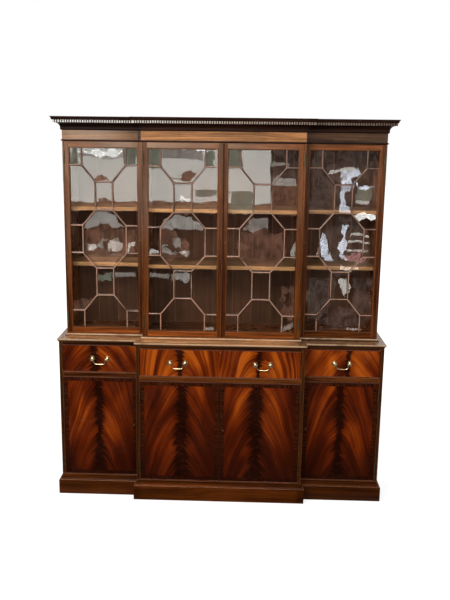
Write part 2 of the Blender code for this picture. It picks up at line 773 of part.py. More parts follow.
def pane_shares():
    """The fifteen panes between the bars: a stack of octagons and rectangles, and those beside them."""
    a, b = OCTAGON_SIDE_SHARE, RECTANGLE_SIDE_SHARE
    far_a, far_b = 1 - a, 1 - b
    v = (0, *LEVEL_SHARES, 1)
    octagon = [(b, v[3]), (far_b, v[3]), (far_a, v[4]), (far_a, v[5])]
    octagon += [(far_b, v[6]), (b, v[6]), (a, v[5]), (a, v[4])]
    middle = [
        [(a, v[0]), (far_a, v[0]), (far_a, v[1]), (far_b, v[2]), (b, v[2]), (a, v[1])],
        [(b, v[2]), (far_b, v[2]), (far_b, v[3]), (b, v[3])],
        octagon,
        [(b, v[6]), (far_b, v[6]), (far_b, v[7]), (b, v[7])],
        [(b, v[7]), (far_b, v[7]), (far_a, v[8]), (far_a, v[9]), (a, v[9]), (a, v[8])],
    ]
    left = [
        [(0, v[0]), (a, v[0]), (a, v[1]), (0, v[1])],
        [(0, v[1]), (a, v[1]), (b, v[2]), (b, v[3]), (a, v[4]), (0, v[4])],
        [(0, v[4]), (a, v[4]), (a, v[5]), (0, v[5])],
        [(0, v[5]), (a, v[5]), (b, v[6]), (b, v[7]), (a, v[8]), (0, v[8])],
        [(0, v[8]), (a, v[8]), (a, v[9]), (0, v[9])],
    ]
    right = [[(1 - u, w) for u, w in reversed(pane)] for pane in left]
    return middle + left + right


def shrink(outline, insets):
    """A convex or hooked outline with each of its edges moved inwards by that edge's own distance."""
    lines = []
    for i, inset in enumerate(insets):
        start = Vector(outline[i])
        along = (Vector(outline[(i + 1) % len(outline)]) - start).normalized()
        inward = Vector((-along.y, along.x))
        lines.append((start + inward * inset, along))
    shrunk = []
    for i, (point, along) in enumerate(lines):
        before, before_along = lines[i - 1]
        cross = before_along.x * along.y - before_along.y * along.x
        step = point - before
        reach = (step.x * along.y - step.y * along.x) / cross
        shrunk.append(tuple(before + before_along * reach))
    return shrunk


def make_glazing_bars(door):
    """The lattice as one flat board with a hole for each pane."""
    width = door.high - door.low - 2 * (STILE + SEAT_GAP)
    height = door.top - door.bottom - 2 * (GLAZED_RAIL + SEAT_GAP)
    outlines = [[(0, 0), (width, 0), (width, height), (0, height)]]
    for pane in pane_shares():
        insets = []
        for start, end in zip(pane, pane[1:] + pane[:1]):
            at_border = any(start[axis] == end[axis] and start[axis] in (0, 1) for axis in (0, 1))
            insets.append(BAR_BORDER if at_border else BAR_WIDTH / 2)
        outlines.append(shrink([(u * width, w * height) for u, w in pane], insets))
    bars = flat_solid(f"{door.name}_glazing_bars", outlines, BAR_THICKNESS, "mahogany")
    bars.rotation_euler = (math.pi / 2, 0, 0)
    middle = door.face + SIGHT_DEPTH - BAR_THICKNESS / 2
    bars.location = (door.low + STILE + SEAT_GAP, middle, door.bottom + GLAZED_RAIL + SEAT_GAP)
    return bars


def make_upper_doors():
    for door in DOORS[4:]:
        hang_door(door, [make_door_frame(door), make_glass(door), make_glazing_bars(door)])


def cornice_levels():
    """The heights of the cornice's members, from the bottom bead to the top."""
    steps = (CORNICE_BEAD, FRIEZE, NECK_HEIGHT, CAVETTO_HEIGHT, DENTIL_HEIGHT, CYMA_HEIGHT, CORNICE_FILLET)
    levels = [CORNICE_BOTTOM]
    for step in steps:
        levels.append(levels[-1] + step)
    return levels


def make_cornice():
    """The cornice frame: bead, frieze, neck, cavetto, a groove for the dentil strip, cyma and fillet."""
    foot, bead, frieze, neck, cavetto, dentil, cyma, top = cornice_levels()
    groove = CAVETTO_PROJECTION - DENTIL_BACKING
    bead_half = (CORNICE_BEAD_PROJECTION, CORNICE_BEAD / 2)
    profile = arc((0, (foot + bead) / 2), bead_half, -90, 90, 4)
    profile += arc((0, (frieze + neck) / 2), (NECK_PROJECTION, NECK_HEIGHT / 2), -90, 0, 2)
    profile += [(NECK_PROJECTION, neck)]
    hollow = (CAVETTO_PROJECTION - NECK_PROJECTION, CAVETTO_HEIGHT)
    profile += arc((CAVETTO_PROJECTION, neck), hollow, 180, 90, 5)[1:]
    nose = CAVETTO_PROJECTION + DENTIL_DEPTH
    rise = (CORNICE_PROJECTION - nose, CYMA_HEIGHT / 2)
    profile += [(groove, cavetto), (groove, dentil), (nose, dentil)]
    profile += arc((nose, dentil + CYMA_HEIGHT / 2), (rise[0] / 2, rise[1]), -90, 0, 2)[1:]
    profile += arc((CORNICE_PROJECTION, dentil + CYMA_HEIGHT / 2), (rise[0] / 2, rise[1]), 180, 90, 2)[1:]
    profile += [(CORNICE_PROJECTION, top), (-CORNICE_WALL, top), (-CORNICE_WALL, foot)]
    loft("cornice", plan_rings(UPPER, profile), False, "mahogany")


def toothed(start, end, first_margin, last_margin):
    """A straight backing edge with evenly spaced dentils standing out to its right as it is walked."""
    start, end = Vector(start), Vector(end)
    along = (end - start).normalized()
    out = Vector((along.y, -along.x)) * DENTIL_DEPTH
    run = (end - start).length - first_margin - last_margin
    width = DENTIL_PITCH * DENTIL_WIDTH_SHARE
    gaps = max(round((run - width) / DENTIL_PITCH), 1)
    pitch = (run - width) / gaps
    points = []
    for i in range(gaps + 1):
        foot = start + along * (first_margin + i * pitch)
        heel = foot + along * width
        points += [foot, foot + out, heel + out, heel]
    return points


def make_dentils():
    """The dentil strip in the cornice's groove: a backing with its teeth, round the sides and front."""
    backing_front = CAVETTO_PROJECTION
    backing_back = CAVETTO_PROJECTION - DENTIL_BACKING + SEAT_GAP
    walk = corners(UPPER, backing_front)
    at_corner = DENTIL_PITCH * (1 - DENTIL_WIDTH_SHARE)
    in_angle = at_corner + DENTIL_DEPTH
    hooks = (2, 5)
    outline = []
    for i, (start, end) in enumerate(zip(walk, walk[1:])):
        first = in_angle if i in hooks else at_corner
        last = in_angle if i + 1 in hooks else at_corner
        outline.append(Vector(start))
        outline += toothed(start, end, first, last)
    outline.append(Vector(walk[-1]))
    outline += [Vector(corner) for corner in reversed(corners(UPPER, backing_back))]
    height = DENTIL_HEIGHT - 2 * SEAT_GAP
    strip = flat_solid("dentil_moulding", [[tuple(point) for point in outline]], height, "mahogany")
    low = cornice_levels()[4]
    strip.location.z = low + DENTIL_HEIGHT / 2


make_plinth()
make_lower_case()
make_drawer_rails()
make_lower_doors()
make_drawers()
make_waist()
make_upper_case()
make_upper_doors()
make_cornice()
make_dentils()
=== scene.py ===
"""The looks of a breakfront bookcase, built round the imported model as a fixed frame.

It is laid out as an add-on. Sizes and colours are scene properties, each group of like pieces has
its own operator, and a panel in the sidebar lists them. Units are metres, and the front faces -Y.
"""

import json
import math
import random
from collections import namedtuple

import bmesh
import bpy
from mathutils import Matrix, Vector


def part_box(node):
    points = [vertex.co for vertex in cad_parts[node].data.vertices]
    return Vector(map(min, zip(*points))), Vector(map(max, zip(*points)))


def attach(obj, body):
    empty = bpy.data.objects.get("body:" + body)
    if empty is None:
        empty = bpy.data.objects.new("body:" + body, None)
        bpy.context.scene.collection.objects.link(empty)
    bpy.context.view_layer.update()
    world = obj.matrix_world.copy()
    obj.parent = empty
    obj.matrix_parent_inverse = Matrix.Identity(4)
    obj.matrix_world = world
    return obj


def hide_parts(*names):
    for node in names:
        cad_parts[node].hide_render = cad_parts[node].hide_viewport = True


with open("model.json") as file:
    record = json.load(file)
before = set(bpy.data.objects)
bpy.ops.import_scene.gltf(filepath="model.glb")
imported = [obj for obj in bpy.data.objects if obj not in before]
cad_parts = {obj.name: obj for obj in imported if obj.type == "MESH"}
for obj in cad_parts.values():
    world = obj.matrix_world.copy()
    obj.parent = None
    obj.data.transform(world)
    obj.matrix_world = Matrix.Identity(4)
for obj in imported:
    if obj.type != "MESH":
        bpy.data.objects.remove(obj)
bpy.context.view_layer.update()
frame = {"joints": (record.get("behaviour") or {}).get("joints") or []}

bl_info = {
    "name": "Breakfront Bookcase",
    "version": (1, 0, 0),
    "blender": (4, 5, 0),
    "location": "3D View > Sidebar > Bookcase",
    "description": "Finishes a breakfront bookcase piece by piece over its fixed frame",
    "category": "Add Mesh",
}

Plan = namedtuple("Plan", "half centre front back")
Door = namedtuple("Door", "name body low high bottom top face hung axis")

# Clearances and thicknesses that the frame doesn't give by itself
SEAT_GAP = 0.0003
DOOR_GAP = 0.002
SIDE_THICKNESS = 0.018
DOOR_THICKNESS = 0.020
DOOR_LIP = 0.008
BACK_THICKNESS = 0.006
DUST_BOARD = 0.008
REBATE_ROOM = 0.001
# How far the top board lies below the partitions' ends
TOP_SUNK = 0.0006
# The rounding of drawer rails and of the top's uprights, as a share of the plain one
RAIL_ROUND = 1.6
UPRIGHT_ROUND = 0.8

# The stepped plans of the base and of the top, and their levels
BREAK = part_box("left_drawer_front")[0].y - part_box("centre_drawer_front")[0].y
LOWER = Plan(
    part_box("lower_bottom_board")[1].x,
    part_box("lower_right_partition")[1].x,
    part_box("left_drawer_front")[0].y,
    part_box("lower_bottom_board")[1].y,
)
UPPER = Plan(
    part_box("upper_bottom_board")[1].x,
    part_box("upper_right_partition")[1].x,
    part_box("upper_bottom_board")[0].y + BREAK,
    LOWER.back,
)
INSIDE_BACK = LOWER.back - BACK_THICKNESS - SEAT_GAP
WAIST_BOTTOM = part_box("lower_left_side")[1].z + SEAT_GAP
WAIST_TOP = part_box("upper_bottom_board")[0].z - SEAT_GAP
CORNICE_BOTTOM, CORNICE_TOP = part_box("cornice")[0].z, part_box("cornice")[1].z
LEFT, RIGHT = -1, 1
SIDE_NAMES = {LEFT: "left", RIGHT: "right"}

# Plinth profile
PLINTH_PROJECTION = 0.018
PLINTH_WALL = 0.026
PLINTH_FACE_HEIGHT = 0.080
PLINTH_FILLET = 0.003
PLINTH_TOP_PROJECTION = 0.004
PLINTH_STEP = 0.010

# Waist board and the foot moulding on it
RAIL_DEPTH = 0.020
TOP_RAIL = 0.016
WAIST_PROJECTION = 0.009
WAIST_NOSE = 0.009
WAIST_ROUND = 0.002
FOOT_HEIGHT = 0.014
FOOT_PROJECTION = 0.010
FOOT_FLAT = 0.003
WAIST_HOLLOW_SHARE = 0.67
WAIST_BORDER = 0.040

# Cornice members, from the bottom bead up
CORNICE_WALL = 0.026
CORNICE_BEAD = 0.009
CORNICE_BEAD_PROJECTION = 0.006
FRIEZE = 0.048
NECK_PROJECTION = 0.007
NECK_HEIGHT = 0.013
CAVETTO_HEIGHT = 0.026
CAVETTO_PROJECTION = 0.034
DENTIL_HEIGHT = 0.014
DENTIL_BACKING = 0.008
DENTIL_DEPTH = 0.008
CYMA_HEIGHT = 0.014
CORNICE_PROJECTION = 0.052
BEAD_BED = 0.004
DENTIL_WIDTH_SHARE = 0.5
DENTIL_EDGE = 0.0007
# The stretch of the left frieze beside the break that is painted dark as shade, as a share of its length
SHADED_STRETCH_SHARE = 0.055

# Backs, shelves and drawer boxes
BACK_JOINT = 0.0010
BACK_TONGUE = 0.006
BACK_BED = 0.0012
SHELF_LIPPING = 0.006
SHELF_ROUND = 0.0015
BOX_SIDE = 0.010
BOX_BOTTOM = 0.006

# Depth of a cock bead behind the front, and how far the veneer lies back from it
BEAD_DEPTH = 0.010
VENEER_SETBACK = 0.0015

# Glazed doors: frame, the ovolo on its inner edge, bars and panes
STILE = 0.028
GLAZED_RAIL = 0.034
GLASS_REBATE = 0.006
SIGHT_DEPTH = 0.010
MOULDING_WIDTH = 0.006
MOULDING_DEPTH = 0.004
OVOLO_SUNK = 0.0006
OVOLO_STEP = 0.0010
OVOLO_MARGIN = 0.0018
OVOLO_QUIRK = 0.0016
OCTAGON_SIDE_SHARE = 0.172
RECTANGLE_SIDE_SHARE = 0.370
LEVEL_SHARES = (0.092, 0.182, 0.337, 0.423, 0.577, 0.663, 0.818, 0.908)
BAR_INTO_FRAME = 0.002
BAR_LAP = 0.002
BAR_THICKNESS = 0.008
BAR_NOSE = (0.0028, 0.0027)
# A bar's side behind its nose: where it starts, its shoulder, and how much slimmer each end is
BAR_SIDE_START = 0.0030
BAR_SHOULDER = 0.0040
BAR_SHOULDER_SLIM = 0.0004
BAR_TAIL_SLIM = 0.0012
PANE_THICKNESS = 0.0022
PANE_EDGE = 0.0014
PANE_ROOM = 0.0016
MEETING_BEAD = 0.006
MEETING_PROUD = 0.0022
MEETING_SHORT = 0.001

# Hinges and handles
HINGE_LENGTH = 0.072
HINGE_INSET = 0.046
KNUCKLE_RADIUS = 0.0035
HINGE_KNUCKLES = 5
LEAF_REACH = 0.003
LEAF_BED = 0.001
KNUCKLE_GAP = 0.0002
KNUCKLE_SIDES = 16
HINGE_SHARP_ANGLE = 35
POST_REACH = 0.0125
POST_BALL = 0.005
# A post's stem and boss, and its dished rosette, as radius and reach from the veneer
POST_STEM = ((0.0030, 0.0062), (0.0034, 0.0048), (0.0048, 0.0042), (0.0058, 0.0035), (0.0, 0.0035))
ROSETTE = (
    (0.0, 0.0035), (0.0058, 0.0034), (0.0070, 0.0016), (0.0095, 0.0011), (0.0122, 0.0012), (0.0130, 0.0021),
    (0.0139, 0.0024), (0.0147, 0.0019), (0.0150, 0.0010), (0.0150, 0.0), (0.0, 0.0),
)
BAIL_WIRE = 0.0022
BAIL_DROP = 0.0300
BAIL_PIN_PAST = 0.004
BAIL_NECK = 0.009
# A bail's half from its neck to the middle: shares of its reach and drop, and thickness of its wire
BAIL_SHARES = (
    (-0.076, 0.00, 0.80),
    (-0.014, 0.05, 1.05),
    (0.000, 0.25, 1.25),
    (0.016, 0.50, 1.30),
    (0.106, 0.77, 1.30),
    (0.288, 0.94, 1.30),
    (0.530, 0.99, 1.30),
    (0.765, 1.00, 1.35),
    (1.000, 1.00, 1.45),
)
# Turns the axis of a turned piece from up to the front
TO_FRONT = Matrix(((1, 0, 0), (0, 0, -1), (0, 1, 0)))

# Keyholes with the brass rings round them, and the side of its door that each one is on
KEYHOLE_SIDES = {"centre_right": LEFT, "wing_left": RIGHT, "wing_right": LEFT}
KEYHOLE_RADIUS = 0.0042
KEYHOLE_RIM = 0.0014
KEYHOLE_PROUD = 0.0006
# How far a ring is let in, and how far the dark of a keyhole reaches before and behind the face
KEYHOLE_BED = 0.0002
KEYHOLE_FRONT = 0.00012
KEYHOLE_BACK = 0.0004
# A keyhole's round part, its height over the middle, its slot and its foot, as shares of the ring's inside
KEYHOLE_EYE = 0.42
KEYHOLE_EYE_UP = 0.25
KEYHOLE_SLOT = 0.22
KEYHOLE_FOOT = 0.8
# Places of the keyholes in the doors and under the drawer's top edge
KEYHOLE_INSET = 0.019
KEYHOLE_OVER_MIDDLE = 0.012
KEYHOLE_UNDER_TOP = 0.016

# The mesh's own record of its timber: where a point lies in its board, where its edges take the pale of wear,
# which on noses, beads and mouldings is also a painted highlight, and how light it is, which on some boards
# is also painted light and shade
GRAIN = "grain"
WEAR_AND_HIGHLIGHT = "worn"
TONE = "tone"
GRAIN_SPREAD = 40.0
TONE_SPREAD = 0.12
TURNS = {"X": (1, 2, 0), "Y": (2, 0, 1), "Z": (0, 1, 2)}
SHARP_ANGLE = 50
# How near the front a bar's faces lie to take the pale of wear and a painted highlight on its nose
NOSE_HIGHLIGHT_DEPTH = 0.0011

# How light a board is beside the plain finish
BASE_TONE = -0.54
# Painted shade under the waist's nose and in its hollow
SHADED_TONE = -0.70
# Painted light on the top rails of the glazed doors
TOP_RAIL_PAINTED_LIGHT = 0.55
# Painted light on each glazed door's bottom rail
BOTTOM_RAIL_PAINTED_LIGHT = {
    "upper_wing_left": 2.6,
    "upper_centre_left": 1.7,
    "upper_centre_right": 1.6,
    "upper_wing_right": 0.1,
}
# Painted shade on the ovolo round the glass, for the dark line where the frame meets it
MOULDING_PAINTED_SHADE = -0.25
# Painted light on the top of the waist's ledge
LEDGE_PAINTED_LIGHT = 1.0
# Painted light and shade on each length of the frieze, from the left side round to the right side: dark just
# left of the break, lightest on the centre front, dark on the right
FRIEZE_PAINTED_LIGHT_AND_SHADE = (-0.5, -0.1, -0.6, -0.7, 0.85, -0.7, -0.75, -0.7)

# A painted sheen, the greyish pale of a painted reflection mixed into the wood, and where it is painted:
# axis, from, to, and its share at the end. The wood is also painted darker at the start and lighter at the
# end
SHEEN_COLOUR = (0.41, 0.285, 0.205, 1.0)
MAHOGANY_SHEEN = ("Z", 1.15, 2.0, 0.36)
FRIEZE_SHEEN = ("X", -0.44, -0.64, 0.78)
# Painted light and shade along the front: shares of the width from the left, and factors. The frieze's dip
# just left of the break is painted shade
PLINTH_LIT = ((0.0, 0.85), (0.24, 0.85), (0.25, 1.25), (0.75, 1.2), (0.76, 0.70), (1.0, 0.76))
FRIEZE_LIT = ((0.0, 0.92), (0.11, 1.0), (0.243, 0.42), (0.2495, 1.0), (1.0, 1.0))
WAIST_LIT = ((0.0, 0.72), (0.20, 0.66), (0.24, 0.72), (0.26, 1.0), (0.70, 0.88), (0.755, 0.30), (1.0, 0.36))
# Painted light on the dentils, pale at the left and dark at the right: shares of the width from the left, and
# colours
DENTILS_PAINTED_LIGHT = (
    (0.0, (0.92, 0.89, 0.85)),
    (0.3, (0.80, 0.72, 0.64)),
    (0.55, (0.50, 0.38, 0.29)),
    (1.0, (0.14, 0.08, 0.05)),
)
# What polished wood goes towards where hands rub it, unless a finish says otherwise
RUBBED = (0.50, 0.25, 0.12)
# Heights between which the pale on the glazing bars' noses, wear and a painted highlight, goes from full to
# little, so that the lower bars are painted more lit
BAR_HIGHLIGHT_FADE = (1.45, 1.80)

# A front's figure: X place and half width of each heart, where its pattern starts, how fast and how
# evenly its streaks fall, how light it is, how much painted shade darkens its foot, and how much painted
# light lightens its right
Figure = namedtuple("Figure", "hearts seed sweep bend light drop lean")

# Each cupboard door's heart: its place as a share of the door's width and its half width, and the rest
DOOR_FIGURES = {
    "lower_wing_left": (0.48, 0.020, 3.1, 8.6, 1.75, 0.80, -0.05),
    "lower_centre_left": (0.52, 0.032, 14.7, 6.6, 1.75, 0.72, -0.06),
    "lower_centre_right": (0.455, 0.028, 25.2, 6.6, 1.75, 0.78, -0.04),
    "lower_wing_right": (0.50, 0.020, 38.9, 8.6, 1.75, 0.76, -0.10),
}
# How much painted shade darkens a cupboard door at its foot
DOOR_FOOT_DROP = 0.45
DRAWER_FIGURES = {
    "left": Figure([(-0.702, 0.024)], 51.0, 2.7, 1.5, 1.04, 0.0, 0.30),
    "centre": Figure([(-0.221, 0.014), (0.212, 0.014)], 62.0, 36.0, 2.5, 1.40, 0.0, 0.0),
    "right": Figure([(0.7045, 0.014)], 77.0, 2.7, 1.5, 1.05, 0.0, -0.15),
}
# The drawer fronts have no crossbanded border
DRAWER_BAND = 0.0
# What the figure's node group puts out
FIGURE_PARTS = ("Streaks", "Bright Threads", "Dark Threads", "Heart", "Distance")

# The stage: camera, floor, lamps, and the room that glass and polish reflect
PHOTO_WIDTH, PHOTO_HEIGHT = 450, 600
CAMERA_PLACE = (0.0961, -4.270, 2.0193)
CAMERA_YAW, CAMERA_PITCH, CAMERA_ROLL = 0.0318, -0.2087, 0.0120
FOCAL_PIXELS = 771.9
OPTICAL_CENTRE = (214.84, 300.88)
SENSOR = 36.0
FLOOR_REACH = 30
FLOOR_LEVEL = -0.0006
# The soft light from all round
SKY = (0.94, 0.97, 1.0, 1.0)
SKY_STRENGTH = 0.42
# Each lamp: place, aim, size, power and colour
LAMPS = {
    "key": ((-1.9, -3.1, 3.3), (0.0, -0.1, 1.1), (2.2, 1.2), 95, (1.0, 0.97, 0.93)),
    "fill": ((2.6, -3.6, 2.4), (0.2, 0.0, 1.0), (1.8, 1.8), 34, (1.0, 0.98, 0.96)),
    "back": ((0.0, 3.0, 2.8), (0.0, 0.2, 1.2), (3.0, 1.5), 40, (1.0, 1.0, 1.0)),
}
# The mirrored room: its record of the light that it gives, the gap from one shape to the next, and how
# ragged an outline with more than so many corners is
GLOW = "glow"
ROOM_SPACING = 0.003
RAGGEDNESS = 0.16
RAGGED_OVER = 4
# The light that each kind of thing in the mirrored room gives, and how crumpled it is
ROOM_LIGHTS = {
    "wall": (4.9, 4.75, 4.4, 0.06),
    "shaded_wall": (2.6, 2.5, 2.3, 0.25),
    "grey": (1.9, 1.7, 1.55, 0.3),
    "green": (1.2, 1.35, 1.05, 0.25),
    "white": (9.6, 9.6, 9.4, 0.25),
    "pale": (3.9, 3.5, 3.2, 0.9),
    "daylight": (5.9, 6.3, 7.2, 0.45),
    "wood": (1.45, 0.78, 0.5, 0.5),
    "brown": (0.74, 0.36, 0.24, 0.7),
    "gloom": (0.36, 0.27, 0.24, 0.9),
    "dark": (0.06, 0.03, 0.02, 0.6),
    "pink": (2.9, 1.35, 1.3, 0.6),
    "floor": (0.06, 0.038, 0.024, 0.3),
    "window": (18.0, 18.0, 17.5, 0.0),
}
# The mirrored room, from back to front: kind, Y, and corners in X and Z in centimetres. Two corners
# are those of an upright rectangle.
ROOM_SHAPES = (
    ("green", -9, ((-900, 195), (60, 600))),
    ("dark", -9, ((60, -100), (900, 600))),
    ("dark", -9, ((-900, -100), (70, 90))),
    ("shaded_wall", -9, ((250, 0), (310, 260))),
    ("wall", -9, ((-452, 236), (88, 241), (92, 94), (-460, 89))),
    ("wood", -9, ((-460, 90), (-164, 94), (-164, 79), (-461, 75))),
    ("wood", -9, ((-157, 93), (101, 96), (101, 81), (-157, 78))),
    ("shaded_wall", -9, ((-262, 166), (-188, 174))),
    ("white", -9, (
        (-261, 178), (-223, 175), (-188, 180), (-188, 176),
        (-223, 170), (-252, 176), (-261, 173),
    )),
    ("green", -9, ((-282, 154), (-264, 181))),
    ("green", -9, ((-186, 152), (-168, 182))),
    ("green", -9, ((-146, 152), (-127, 182))),
    ("green", -9, ((-50, 153), (-33, 182))),
    ("grey", -9, ((-125, 165), (-53, 182))),
    ("white", -9, ((-64, 179), (-43, 182))),
    ("wood", -9, ((-238, 126), (-237, 132), (-224, 138), (-216, 135), (-209, 127))),
    ("wood", -9, (
        (-104, 128), (-102, 133), (-93, 132), (-90, 143),
        (-77, 147), (-64, 140), (-64, 136), (-75, 129),
    )),
    ("wood", -9, ((-238, 77), (-238, 91), (-223, 99), (-213, 97), (-208, 92), (-209, 78))),
    ("wood", -9, ((-104, 79), (-104, 92), (-86, 86), (-73, 86), (-73, 79))),
    ("white", -9, ((-92, 103), (-85, 99), (-74, 99), (-74, 96), (-85, 95), (-92, 99))),
    ("green", -9, ((-68, 105), (-32, 116))),
    ("wood", -9, ((-52, 79), (-32, 98))),
    ("shaded_wall", -3, (
        (-126, 132), (-109, 133), (-97, 121), (-98, 119), (-106, 120),
        (-117, 118), (-126, 120), (-136, 118), (-137, 120),
    )),
    ("brown", -3, ((-136, 118), (-126, 120), (-97, 119), (-97, 95), (-109, 81), (-125, 81), (-137, 95))),
    ("pale", -3, ((-132, 104), (-126, 104), (-119, 105), (-120, 101), (-126, 98), (-131, 99))),
    ("grey", -3, ((-120, 106), (-116, 110), (-113, 109), (-116, 106), (-117, 97), (-119, 99))),
    ("pale", -3, ((-112, 108), (-109, 108), (-109, 102), (-110, 97), (-113, 99))),
    ("pale", -3, ((-108, 108), (-103, 110), (-99, 105), (-98, 99), (-103, 97), (-107, 97))),
    ("grey", -3, ((-133, 95), (-118, 94), (-98, 96), (-98, 94), (-118, 91), (-133, 92))),
    ("wood", -3, ((-133, 95), (-99, 97), (-98, 93), (-108, 86), (-124, 86))),
    ("brown", -3, ((-96, 96), (-87, 118))),
    ("wall", -3, ((-95, 102), (-92, 106), (-87, 106), (-87, 103), (-91, 103), (-94, 96), (-96, 95))),
    ("wall", -3, ((-74, 99), (-70, 103), (-65, 102), (-65, 99), (-70, 99), (-72, 96))),
    ("shaded_wall", -3, ((-51, 133), (-35, 133), (-23, 122), (-37, 120), (-62, 120), (-62, 122))),
    ("brown", -3, ((-63, 118), (-58, 121), (-41, 112), (-37, 108), (-36, 95), (-53, 91), (-63, 98))),
    ("shaded_wall", -3, ((-52, 105), (-53, 112), (-46, 113), (-43, 109), (-44, 102))),
    ("pale", -3, (
        (-62, 105), (-58, 107), (-53, 102), (-46, 100),
        (-36, 102), (-36, 97), (-55, 98), (-60, 101),
    )),
    ("grey", -3, ((-107, 74), (-87, 78))),
    ("grey", -3, ((-73, 76), (-53, 80))),
    ("green", -3, ((-124, 77), (-109, 78), (-109, 71), (-116, 70), (-124, 72))),
    ("shaded_wall", -3, ((-51, 79), (-35, 80), (-35, 75), (-37, 72), (-51, 74))),
    ("brown", -3, ((-147, 41), (-147, 50), (-137, 54), (-126, 54), (-126, 51), (-138, 40))),
    ("shaded_wall", -3, ((-21, 26), (-20, 30), (-13, 31), (-13, 26))),
    ("gloom", -9, ((60, 187), (103, 187), (107, 78), (63, 78))),
    ("green", -9, ((-10, 153), (9, 183))),
    ("grey", -9, ((61, 156), (86, 162))),
    ("shaded_wall", -9, ((72, 140), (102, 140), (103, 126), (65, 126))),
    ("brown", -9, ((65, 78), (104, 125))),
    ("green", -9, ((-9, 78), (32, 114))),
    ("grey", -3, ((22, 133), (35, 133), (36, 122), (12, 121), (12, 123))),
    ("brown", -3, ((11, 120), (50, 120), (50, 98), (39, 83), (21, 82), (11, 97))),
    ("shaded_wall", -3, ((56, 108), (59, 111), (61, 106), (58, 102), (61, 99), (59, 96), (56, 100))),
    ("brown", -3, ((47, 70), (61, 71), (62, 45), (56, 39), (47, 48))),
    ("dark", -3, ((50, 63), (54, 67), (58, 64), (59, 55), (55, 52), (51, 55))),
    ("grey", -3, ((47, 30), (61, 39), (61, 34), (47, 26))),
    ("gloom", -9, ((125, 182), (242, 184), (248, 79), (129, 77))),
    ("brown", -9, ((225, 149), (244, 149), (248, 79), (229, 79))),
    ("gloom", -9, ((127, 138), (154, 144), (168, 141), (170, 97), (162, 79), (129, 78))),
    ("wall", -9, ((150, 148), (180, 154), (199, 151), (199, 147), (180, 148), (154, 144))),
    ("daylight", -9, (
        (179, 149), (199, 151), (197, 127), (186, 107),
        (199, 79), (172, 79), (175, 107), (182, 129),
    )),
    ("green", -9, ((201, 123), (225, 125), (228, 106), (200, 105))),
    ("daylight", -9, ((199, 126), (212, 129), (228, 126), (229, 124), (200, 123))),
    ("wall", -9, ((200, 100), (224, 106))),
    ("white", -3, ((112, 136), (127, 137), (132, 135), (132, 133), (112, 134))),
    ("gloom", -3, ((83, 118), (96, 133), (113, 133), (123, 121), (125, 98), (110, 80), (97, 79), (84, 97))),
    ("daylight", -3, ((84, 119), (87, 112), (93, 93), (88, 94), (85, 103))),
    ("daylight", -3, (
        (102, 126), (106, 125), (108, 110), (105, 102),
        (108, 94), (102, 96), (98, 105), (101, 112),
    )),
    ("wall", -3, ((108, 116), (124, 118))),
    ("wall", -3, ((108, 110), (124, 112))),
    ("pale", -3, ((108, 102), (124, 104))),
    ("pink", -3, ((105, 98), (114, 101), (123, 98), (121, 93), (109, 93))),
    ("wall", -3, ((80, 98), (82, 106))),
    ("wall", -3, ((102, 91), (108, 88), (117, 89), (117, 86), (102, 86))),
    ("gloom", -3, ((71, 78), (94, 79), (95, 54), (83, 38), (73, 39))),
    ("wall", -3, ((99, 76), (108, 78), (112, 70), (107, 62), (104, 69))),
    ("gloom", -3, ((112, 79), (134, 79), (136, 48), (125, 39), (113, 55))),
    ("gloom", -3, ((85, 38), (96, 51), (112, 52), (125, 39), (125, 25), (84, 24))),
    ("shaded_wall", -3, ((110, 25), (123, 32))),
    ("daylight", -3, ((126, 25), (134, 27))),
)
# The flat shapes below and above: kind, Z, and their low and high corners in X and Y
ROOM_FLATS = (
    ("floor", 0.004, (-9, -9), (9, -0.232)),
    ("window", 4.7, (-4.5, -5.5), (0.8, -1.2)),
)


def length(name, description, default):
    return bpy.props.FloatProperty(name=name, description=description, default=default, unit="LENGTH")


def tint(name, description, default):
    return bpy.props.FloatVectorProperty(
        name=name, description=description, default=default, size=3, subtype="COLOR", min=0.0, max=1.0
    )


class BookcaseSizes(bpy.types.PropertyGroup):
    """Sizes of the finish and of the small pieces."""

    edge_round: length("Edge rounding", "How far sharp edges of the boards are rounded", 0.0012)
    bead_width: length("Cock bead width", "Width of the bead round each drawer and cupboard door", 0.003)
    bead_proud: length("Cock bead height", "How far the bead stands out from the veneer", 0.0015)
    band_width: length("Crossbanding width", "Width of the border of cross-grained veneer", 0.024)
    bar_width: length("Glazing bar width", "Width of the moulded glazing bars", 0.0095)
    dentil_pitch: length("Dentil pitch", "Spacing of the dentils under the cornice", 0.0129)
    back_board: length("Back board width", "Width of the boards that close the back", 0.115)
    pane_tilt: bpy.props.FloatProperty(
        name="Pane tilt", description="How far each pane is out of line at most", default=math.radians(0.06),
        unit="ROTATION",
    )


class BookcaseColours(bpy.types.PropertyGroup):
    """Colours of the finishes."""

    mahogany_dark: tint("Mahogany, dark grain", "Darkest colour of plain wood", (0.030, 0.0062, 0.0015))
    mahogany_light: tint("Mahogany, light grain", "Lightest colour of plain wood", (0.255, 0.070, 0.0130))
    heart: tint("Flame, heart", "The near-black middle of the flame figure", (0.012, 0.0022, 0.0007))
    flame: tint("Flame, bright", "The bright streaks of the flame figure", (0.520, 0.105, 0.0060))
    plinth: tint("Plinth", "The brown of the plinth", (0.084, 0.0190, 0.0018))
    # The shelf lipping takes this paler colour and the shelf boards a darker one, painted light on the front
    # edges and painted shade on the tops
    shelf: tint("Shelf wood", "The paler wood of shelf edges and drawer boxes", (0.420, 0.205, 0.080))
    back: tint("Back boards", "The dull brown of the back", (0.078, 0.031, 0.0145))
    brass: tint("Brass", "The pale gold of the handles", (0.440, 0.330, 0.190))


# Shader building


